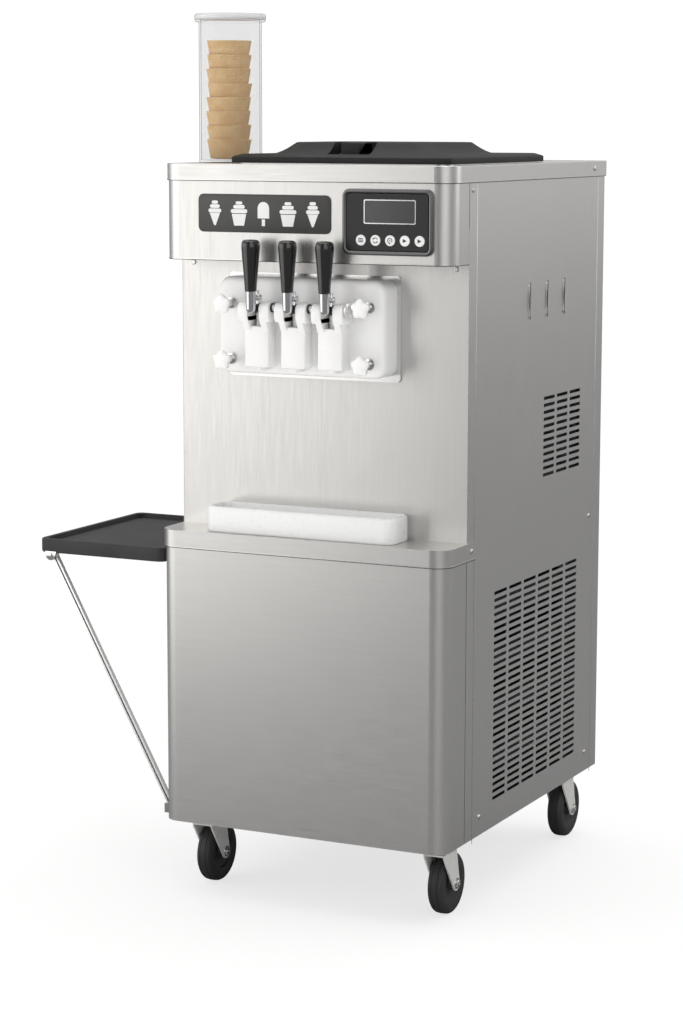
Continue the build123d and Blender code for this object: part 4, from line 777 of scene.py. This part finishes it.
whereabouts = wafer_tree.nodes.new("ShaderNodeTexCoord")
parts_of = wafer_tree.nodes.new("ShaderNodeSeparateXYZ")
wafer_tree.links.new(whereabouts.outputs["Object"], parts_of.inputs[0])
bearing = figure("ARCTAN2", figure("SUBTRACT", parts_of.outputs["Y"], tube_axis.y),
                 figure("SUBTRACT", parts_of.outputs["X"], tube_axis.x))
round_it = figure("MULTIPLY", bearing, LATTICE_ROUND)
up_it = figure("MULTIPLY", parts_of.outputs["Z"], LATTICE_UP)
cross = figure("ABSOLUTE", figure("MULTIPLY", figure("SINE", figure("ADD", round_it, up_it)),
                                  figure("SINE", figure("SUBTRACT", round_it, up_it))))
lattice_line = ramp(wafer_tree, cross, 1.0, 0.0, 0.0, 0.42)
tint = wafer_tree.nodes.new("ShaderNodeMix")
tint.data_type = "RGBA"
tint.blend_type = "MULTIPLY"
tint.inputs["Factor"].default_value = 1.0
wafer_tree.links.new(ramp(wafer_tree, toast.outputs["Fac"], (0.86, 0.56, 0.25), (0.98, 0.72, 0.38)),
                     tint.inputs["A"])
wafer_tree.links.new(ramp(wafer_tree, cross, (1.0, 1.0, 1.0), (0.84, 0.74, 0.62), 0.05, 0.5), tint.inputs["B"])
wafer_tree.links.new(tint.outputs["Result"], wafer_shader.inputs["Base Color"])
wafer_tree.links.new(ramp(wafer_tree, crumb.outputs["Fac"], 0.55, 0.72), wafer_shader.inputs["Roughness"])
ridge = bump(wafer_tree, wafer_shader, lattice_line, 0.0007, 0.8)
bump(wafer_tree, wafer_shader, crumb.outputs["Fac"], 0.0002, 0.3, ridge)


def wafer_cup():
    """A plain cup 34.6 mm high, standing on z = 0 round the z axis, in metres."""
    work = bmesh.new()
    turned(work, [(28, 0), (31.4, 0.4), (33, 2), (33.6, 4), (36.2, 18), (38.6, 31), (39, 33), (38.9, 34.3),
                  (38.4, 34.6), (37.4, 34.4), (36.6, 33.4), (31.4, 4), (30, 2.4)], (0, 0, 0), steps=96)
    bmesh.ops.scale(work, vec=(0.001,) * 3, verts=work.verts)
    bmesh.ops.recalc_face_normals(work, faces=work.faces)
    mesh = bpy.data.meshes.new("wafer_cup")
    work.to_mesh(mesh)
    work.free()
    mesh.shade_smooth()
    mesh.set_sharp_from_angle(angle=math.radians(50))
    return mesh


print("one cup has", len(wafer_cup().polygons), "faces")

# %% Stack the cups with Geometry Nodes
def stack_tree():
    """A tree that repeats its input mesh up a line: Cups, Pitch, Lean, Shift and Seed are its inputs."""
    tree = bpy.data.node_groups.new("cup_stack", "GeometryNodeTree")
    face = tree.interface
    face.new_socket("Geometry", in_out="INPUT", socket_type="NodeSocketGeometry")
    for label, kind, value in (("Cups", "NodeSocketInt", 8), ("Pitch", "NodeSocketFloat", 0.0245),
                               ("Lean", "NodeSocketFloat", 0.05), ("Shift", "NodeSocketFloat", 0.0015),
                               ("Seed", "NodeSocketInt", 5), ("Material", "NodeSocketMaterial", None)):
        socket = face.new_socket(label, in_out="INPUT", socket_type=kind)
        if value is not None:
            socket.default_value = value
    face.new_socket("Geometry", in_out="OUTPUT", socket_type="NodeSocketGeometry")
    given, result = tree.nodes.new("NodeGroupInput"), tree.nodes.new("NodeGroupOutput")
    line = tree.nodes.new("GeometryNodeMeshLine")
    rise = tree.nodes.new("ShaderNodeCombineXYZ")
    tree.links.new(given.outputs["Cups"], line.inputs["Count"])
    tree.links.new(given.outputs["Pitch"], rise.inputs["Z"])
    tree.links.new(rise.outputs[0], line.inputs["Offset"])
    jitter = []
    for amount in ("Shift", "Lean"):
        spread = tree.nodes.new("FunctionNodeRandomValue")
        spread.data_type = "FLOAT_VECTOR"
        least = tree.nodes.new("ShaderNodeVectorMath")
        least.operation = "SCALE"
        least.inputs[0].default_value = (-1, -1, 0) if amount == "Shift" else (-1, -1, -30)
        most = tree.nodes.new("ShaderNodeVectorMath")
        most.operation = "SCALE"
        most.inputs[0].default_value = (1, 1, 0) if amount == "Shift" else (1, 1, 30)
        for end in (least, most):
            tree.links.new(given.outputs[amount], end.inputs["Scale"])
        tree.links.new(least.outputs[0], spread.inputs[0])
        tree.links.new(most.outputs[0], spread.inputs[1])
        tree.links.new(given.outputs["Seed"], spread.inputs["Seed"])
        jitter.append(spread)
    move = tree.nodes.new("GeometryNodeSetPosition")
    place = tree.nodes.new("GeometryNodeInstanceOnPoints")
    real = tree.nodes.new("GeometryNodeRealizeInstances")
    paint = tree.nodes.new("GeometryNodeSetMaterial")
    tree.links.new(line.outputs[0], move.inputs["Geometry"])
    tree.links.new(jitter[0].outputs[0], move.inputs["Offset"])
    tree.links.new(move.outputs[0], place.inputs["Points"])
    tree.links.new(given.outputs["Geometry"], place.inputs["Instance"])
    tree.links.new(jitter[1].outputs[0], place.inputs["Rotation"])
    tree.links.new(place.outputs[0], real.inputs[0])
    tree.links.new(real.outputs[0], paint.inputs["Geometry"])
    tree.links.new(given.outputs["Material"], paint.inputs["Material"])
    tree.links.new(paint.outputs[0], result.inputs["Geometry"])
    return tree


def grown(name, mesh, tree, values, offset):
    """Run a node tree on a mesh, keep the result as a plain object and move its points by an offset."""
    seed = bpy.data.objects.new(name + "_seed", mesh)
    scene.collection.objects.link(seed)
    modifier = seed.modifiers.new("nodes", "NODES")
    modifier.node_group = tree
    for socket in tree.interface.items_tree:
        if socket.item_type == "SOCKET" and socket.in_out == "INPUT" and socket.name in values:
            modifier[socket.identifier] = values[socket.name]
    ready = seed.evaluated_get(bpy.context.evaluated_depsgraph_get())
    result = bpy.data.meshes.new_from_object(ready)
    result.name = name
    bpy.data.objects.remove(seed)
    result.transform(Matrix.Translation(offset))
    made = bpy.data.objects.new(name, result)
    scene.collection.objects.link(made)
    print(name, len(result.polygons), "faces")
    return made


CUP_FOOT_Z = 1306
cups = grown("wafer_cups", wafer_cup(), stack_tree(),
             {"Cups": 8, "Pitch": 0.0245, "Lean": 0.022, "Shift": 0.0009, "Seed": 5, "Material": WAFER},
             at(tube_x - 3, tube_y, CUP_FOOT_Z))
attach(cups, "dispenser_tube")

# %% [markdown]
# The hopper lid is vacuum-formed: a flat band round its foot, a low deck, and a dome whose slopes are hollow
# where they meet the deck. Rings of rounded rectangles give that, with the heights of the slope following a
# curve. The two finger pockets are cut with a Boolean, and a rib to pull on stays between them.

# %% Hopper lid
lid_low, lid_high = node_box("hopper_lid")
band_z, lid_top = lid_low.z + 11, lid_high.z
dome_x = (lid_low.x + 43, lid_high.x - 17)
dome_y = (lid_low.y + 12, lid_high.y - 117)


def lid_ring(x_span, y_span, inset, radius, z):
    return rounded_ring((x_span[0] + inset, x_span[1] - inset), (y_span[0] + inset, y_span[1] - inset),
                        radius, lambda u, v: (u, v, z), 10)


lid = bmesh.new()
whole_x, whole_y = (lid_low.x, lid_high.x), (lid_low.y, lid_high.y)
rings = [lid_ring(whole_x, whole_y, inset, radius, z) for inset, radius, z in (
    (0.8, 9, lid_low.z), (0, 10, lid_low.z + 1), (0, 10, band_z - 2.4), (0.8, 9.5, band_z - 0.8),
    (2.4, 9, band_z), (9, 9, band_z + 2.6), (12, 9, band_z + 3.6), (14, 9, band_z + 4))]
deck_z = band_z + 4
rise = lid_top - band_z - 4
for inset, share in ((9, 0.0), (14, 0.03), (19, 0.11), (25, 0.26), (31, 0.46), (37, 0.7), (41.5, 0.9),
                     (43.4, 0.975), (45.5, 1.0)):
    rings.append(lid_ring(dome_x, dome_y, inset, 38, deck_z + rise * share))
loft(lid, rings)
lid_piece = settle("hopper_lid_moulding", lid, LID_BLACK, "lid", ("hopper_lid",), crease=50)

# %% Finger pockets in the lid
pocket_middle = (lid_low.x + lid_high.x) / 2 + 8
pockets = bmesh.new()
for near, far in ((-40, -17), (17, 39)):
    span_line = [(pocket_middle + near, dome_y[0] + 4), (pocket_middle + far, dome_y[0] + 4),
                 (pocket_middle + far, dome_y[0] + 72), (pocket_middle + near, dome_y[0] + 72)]
    slab(pockets, span_line, band_z + 2, lid_top + 5, from_above, 2.5, 3)
for vertex in pockets.verts:
    vertex.co = at(*vertex.co)
bmesh.ops.recalc_face_normals(pockets, faces=pockets.faces)
cutter_mesh = bpy.data.meshes.new("pockets")
pockets.to_mesh(cutter_mesh)
pockets.free()
cutter = bpy.data.objects.new("pockets", cutter_mesh)
scene.collection.objects.link(cutter)
cut = lid_piece.modifiers.new("pockets", "BOOLEAN")
cut.operation, cut.object, cut.solver = "DIFFERENCE", cutter, "EXACT"
carved = bpy.data.meshes.new_from_object(lid_piece.evaluated_get(bpy.context.evaluated_depsgraph_get()))
lid_piece.modifiers.clear()
lid_piece.data = carved
carved.shade_smooth()
carved.set_sharp_from_angle(angle=math.radians(40))
bpy.data.objects.remove(cutter)
rib = bmesh.new()
rib_line = [(dome_y[0] + 18, band_z + 4), (dome_y[0] + 72, band_z + 4), (dome_y[0] + 72, lid_top - 0.4),
            (dome_y[0] + 19, lid_top - 0.4)]
slab(rib, rib_line, pocket_middle - 17, pocket_middle + 17, from_side, 1.6, 3)
settle("lid_pull_rib", rib, LID_BLACK, "lid")
print("lid carved:", len(carved.polygons), "faces")

# %% [markdown]
# Sheet edges on this cabinet are folded over, and the folds catch the light as thin bright lines along every
# seam. They are laid as slim flat beads on the edges of the side panels, the cover, the header and the ledge.
# A narrow dark strip under each level bead is the painted shadow of its seam.

# %% Folded sheet edges
HEM = metal("folded_steel_edges", (0.8, 0.79, 0.77), 0.3, 500, 0.00002)
PROUD, SUNK = 0.45, 0.6                 # how far a level bead stands out of its sheet, and how deep it lies
BEAD_X = (274.6, 275.5)
hems, seam_shadow_work = bmesh.new(), bmesh.new()
for sign in (-1, 1):
    for y0, y1 in ((32.6, 34.2), (605.6, 607.2)):
        outline = [(y0, 128.5), (y1, 128.5), (y1, 1271.5), (y0, 1271.5)]
        slab(hems, outline, sign * BEAD_X[0], sign * BEAD_X[1], from_side, 0.4, 2)
LEVEL_BEADS = ((-70, 0, 275, 33, 1136, 1137.8),             # header: front, back, half width, corner, z span
               (-90, 30, 278, 33, 632, 633.6),              # ledge
               (-72.5, 640, 277.5, 35.5, 1272, 1273.6))     # top cover
for front, back, half, radius, z0, z1 in LEVEL_BEADS:
    outer, inner = [], []
    for start, cx in ((180, -half + radius), (270, half - radius)):
        for i in range(13):
            a = math.radians(start + 90 * i / 12)
            for edge, reach in ((outer, radius + PROUD), (inner, radius - SUNK)):
                edge.append((cx + reach * math.cos(a), front + radius + reach * math.sin(a)))
    outer = [(-half - PROUD, back)] + outer + [(half + PROUD, back)]
    inner = [(-half + SUNK, back)] + inner + [(half - SUNK, back)]
    slab(hems, outer + inner[::-1], z0, z1, from_above)
    shadow_line = [(u * 0.9992, v) for u, v in outer] + inner[::-1]
    slab(seam_shadow_work, shadow_line, z0 - 1.1, z0 - 0.05, from_above)
for sign in (-1, 1):
    outline = [(-0.6, 634), (0.3, 634), (0.3, 1135), (-0.6, 1135)]
    slab(hems, outline, sign * BEAD_X[0], sign * BEAD_X[1], from_side)
# The seam shadows are painted: thin strips in the control foil's black, just below each level bead.
settle("seam_shadows", seam_shadow_work, FOIL_AND_SEAM_SHADOW_BLACK, "cabinet")
settle("folded_edges", hems, HEM, "cabinet")

# %% [markdown]
# A caster wheel is a rubber tyre with two shallow grooves round its tread, pressed on a dished hub. It is
# turned as one ring so that its wall stays closed at the bore, and the axle gets a proper bolt head with a
# washer on each side of the fork.

# %% Caster wheels and axle bolts
BOLT = metal("axle_bolts", (0.6, 0.6, 0.58), 0.28, 260)
DRAWN_RADIUS, HUB_RADIUS = 50, 30       # the outline below is drawn for a 100 mm wheel
half_line = [(4.06, 15.2), (8, 15.4), (11, 14.6), (12, 12), (13, 8.4), (27, 7.8), (30, 9.4), (31.4, 13.2),
             (33, 14), (38, 14.4), (41, 14), (41.6, 13.4), (42.4, 14), (45.4, 13.2), (48, 11), (49.4, 8.4),
             (49.6, 6.6), (48.9, 6), (48.9, 5.2), (49.9, 4.6), (50, 2.6), (50, 0.1)]
wheel_line = half_line + [(r, -h) for r, h in reversed(half_line)]
washer_line = [(0.05, 0), (9.4, 0), (9.8, 0.6), (9.4, 1.4), (0.05, 1.4)]
bolt_line = [(0.05, 1), (6.2, 1), (6.2, 4), (5, 5.2), (2.4, 5.4), (2, 4.2), (0.05, 4.2)]
for corner in ("front_left", "front_right", "rear_left", "rear_right"):
    low, high = node_box("wheel_" + corner)
    x, y, axle_z = ((a + b) / 2 for a, b in zip(low, high))
    grow = axle_z - DRAWN_RADIUS        # the tread moves out to the measured radius, the hub stays
    tyre = bmesh.new()
    turned(tyre, [(r + grow * min(1, max(0, (r - HUB_RADIUS) / 10)), x + h) for r, h in wheel_line],
           (0, y, axle_z), "x", 72, close=True)
    settle("caster_wheel_" + corner, tyre, TYRE, "wheel_" + corner, ("wheel_" + corner,),
           crease=32)
    bolt = bmesh.new()
    for sign in (-1, 1):
        face = x + sign * 20
        turned(bolt, [(r, face + sign * h) for r, h in washer_line], (0, y, axle_z), "x", 36)
        turned(bolt, [(r, face + sign * h) for r, h in bolt_line], (0, y, axle_z), "x", 32)
    settle("axle_bolt_" + corner, bolt, BOLT, "fork_" + corner)

# %% [markdown]
# The strut's upper end hangs from a bright pressed bracket under the shelf. The bracket is a small folded
# plate with an eye.

# %% Strut bracket under the shelf
shelf_low = node_box("shelf_tray")[0]
strut_low, strut_high = node_box("shelf_strut")
bracket = bmesh.new()
eye_x, eye_z = shelf_low.x + 23, 590
slab(bracket, [(eye_x - 12, -50), (eye_x + 16, -50), (eye_x + 16, -22), (eye_x - 12, -22)], 597.5, 599.4,
     from_above, 0.4, 2)
cheek = [(eye_x + 10 * math.cos(math.radians(a)), eye_z + 9 * math.sin(math.radians(a)))
         for a in range(180, 361, 15)]
slab(bracket, cheek + [(eye_x + 13, 599), (eye_x - 11, 599)], -48.6, -50.4, from_front, 0.4, 2)
turned(bracket, [(0.05, -52), (4.2, -52), (5, -51.4), (5, -50), (0.05, -50)], (eye_x, 0, eye_z), "y", 24)
settle("strut_bracket", bracket, POLISHED, "shelf")

# %% [markdown]
# A small frosted roll of acrylic stiffens the mouth of the cup tube.

# %% Rim of the cup tube
rim_r, rim_z = (tube_high.x - tube_low.x) / 2, tube_high.z
rim = bmesh.new()
rim_profile = [(rim_r - 2.6 + 3.4 * math.cos(a), rim_z - 5.2 + 5 * math.sin(a))
               for a in (2 * math.pi * i / 16 for i in range(16))]
turned(rim, rim_profile, (tube_x, tube_y, 0), steps=96, close=True)
settle("tube_rim_roll", rim, RIM_FROST, "dispenser_tube")

# %% [markdown]
# The upper louvres are pressed out of the side panel as slim lenses. The front edge of each is an open slit,
# whose dark is painted shade, a black crescent, and the rear edge is a bright fold.

# %% Louvre lenses
# The slits' dark is painted shade: near-black crescents in place of the shaded openings.
SLIT_PAINTED_SHADE = moulded("slit_shadow", (0.012, 0.012, 0.012), 0.8)
LOUVRE_Z = (1025, 1091)
slit_shade_work, fold_work = bmesh.new(), bmesh.new()


def lens(middle_y, reach, low, high, thick, side):
    """Crescent along one edge of an upright lens, as an outline in y and z."""
    rows = [i / 14 for i in range(15)]
    outer, inner = (
        [(middle_y + side * out * math.sin(math.pi * t), low + (high - low) * t) for t in rows]
        for out in (reach, reach - thick))
    return outer[1:-1] + [outer[-1]] + inner[-2:0:-1] + [outer[0]]


panel_edges = {sign: node_box(name) for sign, name in ((1, "side_panel_right"), (-1, "side_panel_left"))}
rear_edge = panel_edges[1][1].y
for sign, (low_corner, high_corner) in panel_edges.items():
    face = max(abs(low_corner.x), abs(high_corner.x))
    if face > 276:
        for back_off in (336.5, 253.5, 170.5):
            middle_y = rear_edge - back_off
            slit_shade = lens(middle_y, 3.6, *LOUVRE_Z, 2.6, -1)
            fold = lens(middle_y, 3.8, *LOUVRE_Z, 1.6, 1)
            slab(slit_shade_work, slit_shade, sign * (face - 0.6), sign * (face + 0.3), from_side)
            slab(fold_work, fold, sign * (face - 0.6), sign * (face + 0.5), from_side)
settle("louvre_slit_painted_shade", slit_shade_work, SLIT_PAINTED_SHADE, "cabinet")
settle("louvre_folds", fold_work, HEM, "cabinet")

# %% [markdown]
# The strut is a pressed channel with two bright edges. The shade in the groove between them is painted, as a
# dark slab laid in it. It runs from the eye under the shelf to the foot in its keeper.

# %% Shelf strut
eye = Vector((strut_low.x + 7, 0, strut_high.z - 7))
foot = Vector((strut_high.x - 4, 0, strut_low.z + 4))
strut_y = (strut_low.y + strut_high.y) / 2
run = (foot - eye).normalized()
across = Vector((-run.z, 0, run.x))


def along_strut(u, v, w):
    """From the distance along the strut, the distance across it and the depth, to millimetres."""
    point = eye + run * u + across * v
    return (point.x, strut_y + w, point.z)


length = (foot - eye).length
STRUT_BRIGHT = metal("bright_strut", (0.9, 0.9, 0.89), 0.3, 400, metallic=0.35)
channel, groove_shade_work = bmesh.new(), bmesh.new()
for sign in (-1, 1):
    flange = [(5, sign * 1.4), (length + 2, sign * 1.4), (length + 2, sign * 5), (5, sign * 5)]
    slab(channel, flange, -4.4, 4.4, along_strut, 0.4, 2)
slab(channel, [(2, -4.6), (length + 3.4, -4.6), (length + 3.4, 4.6), (2, 4.6)], 1.5, 4, along_strut, 0.4, 2)
turned(channel, [(3.2, strut_y - 4.4), (6.8, strut_y - 4.4), (7, strut_y - 4), (7, strut_y + 4),
                 (6.8, strut_y + 4.4), (3.2, strut_y + 4.4)], (eye.x, 0, eye.z), "y", 36, close=True)
# The groove's shade is painted: a dark slab fills the channel between the two flanges.
slab(groove_shade_work, [(9, -1.5), (length + 1, -1.5), (length + 1, 1.5), (9, 1.5)], -4.1, 1.6, along_strut)
settle("strut_channel", channel, STRUT_BRIGHT, "strut", ("shelf_strut",))
settle("strut_groove_painted_shade", groove_shade_work, PLATE_GREY_AND_GROOVE_SHADE, "strut")

# %% [markdown]
# The side shelf is a tray with a raised, softly rounded rim. The rim is lofted as one closed ring over the
# measured tray, and the recessed floor inside it stays as it was measured.

# %% Rim of the side shelf
shelf_rim = bmesh.new()
shelf_top_z = node_box("ledge")[1].z - 42
rings = []
for inset, lift in ((1.2, -25), (0, -24), (-0.8, -21), (-0.8, -2), (0, 0), (1.4, 0.7), (6.5, 0.7), (8.2, 0),
                    (9.4, -3), (10.2, -7.9), (4, -12), (4, -25)):
    rings.append(rounded_ring((shelf_low.x + inset, -290 - max(0, inset)), (-50 + inset, 305 - inset),
                              14 - inset / 2, lambda u, v, z=shelf_top_z + lift: (u, v, z)))
loft(shelf_rim, rings, close=True)
settle("shelf_rim", shelf_rim, SHELF_GREY, "shelf", crease=50)
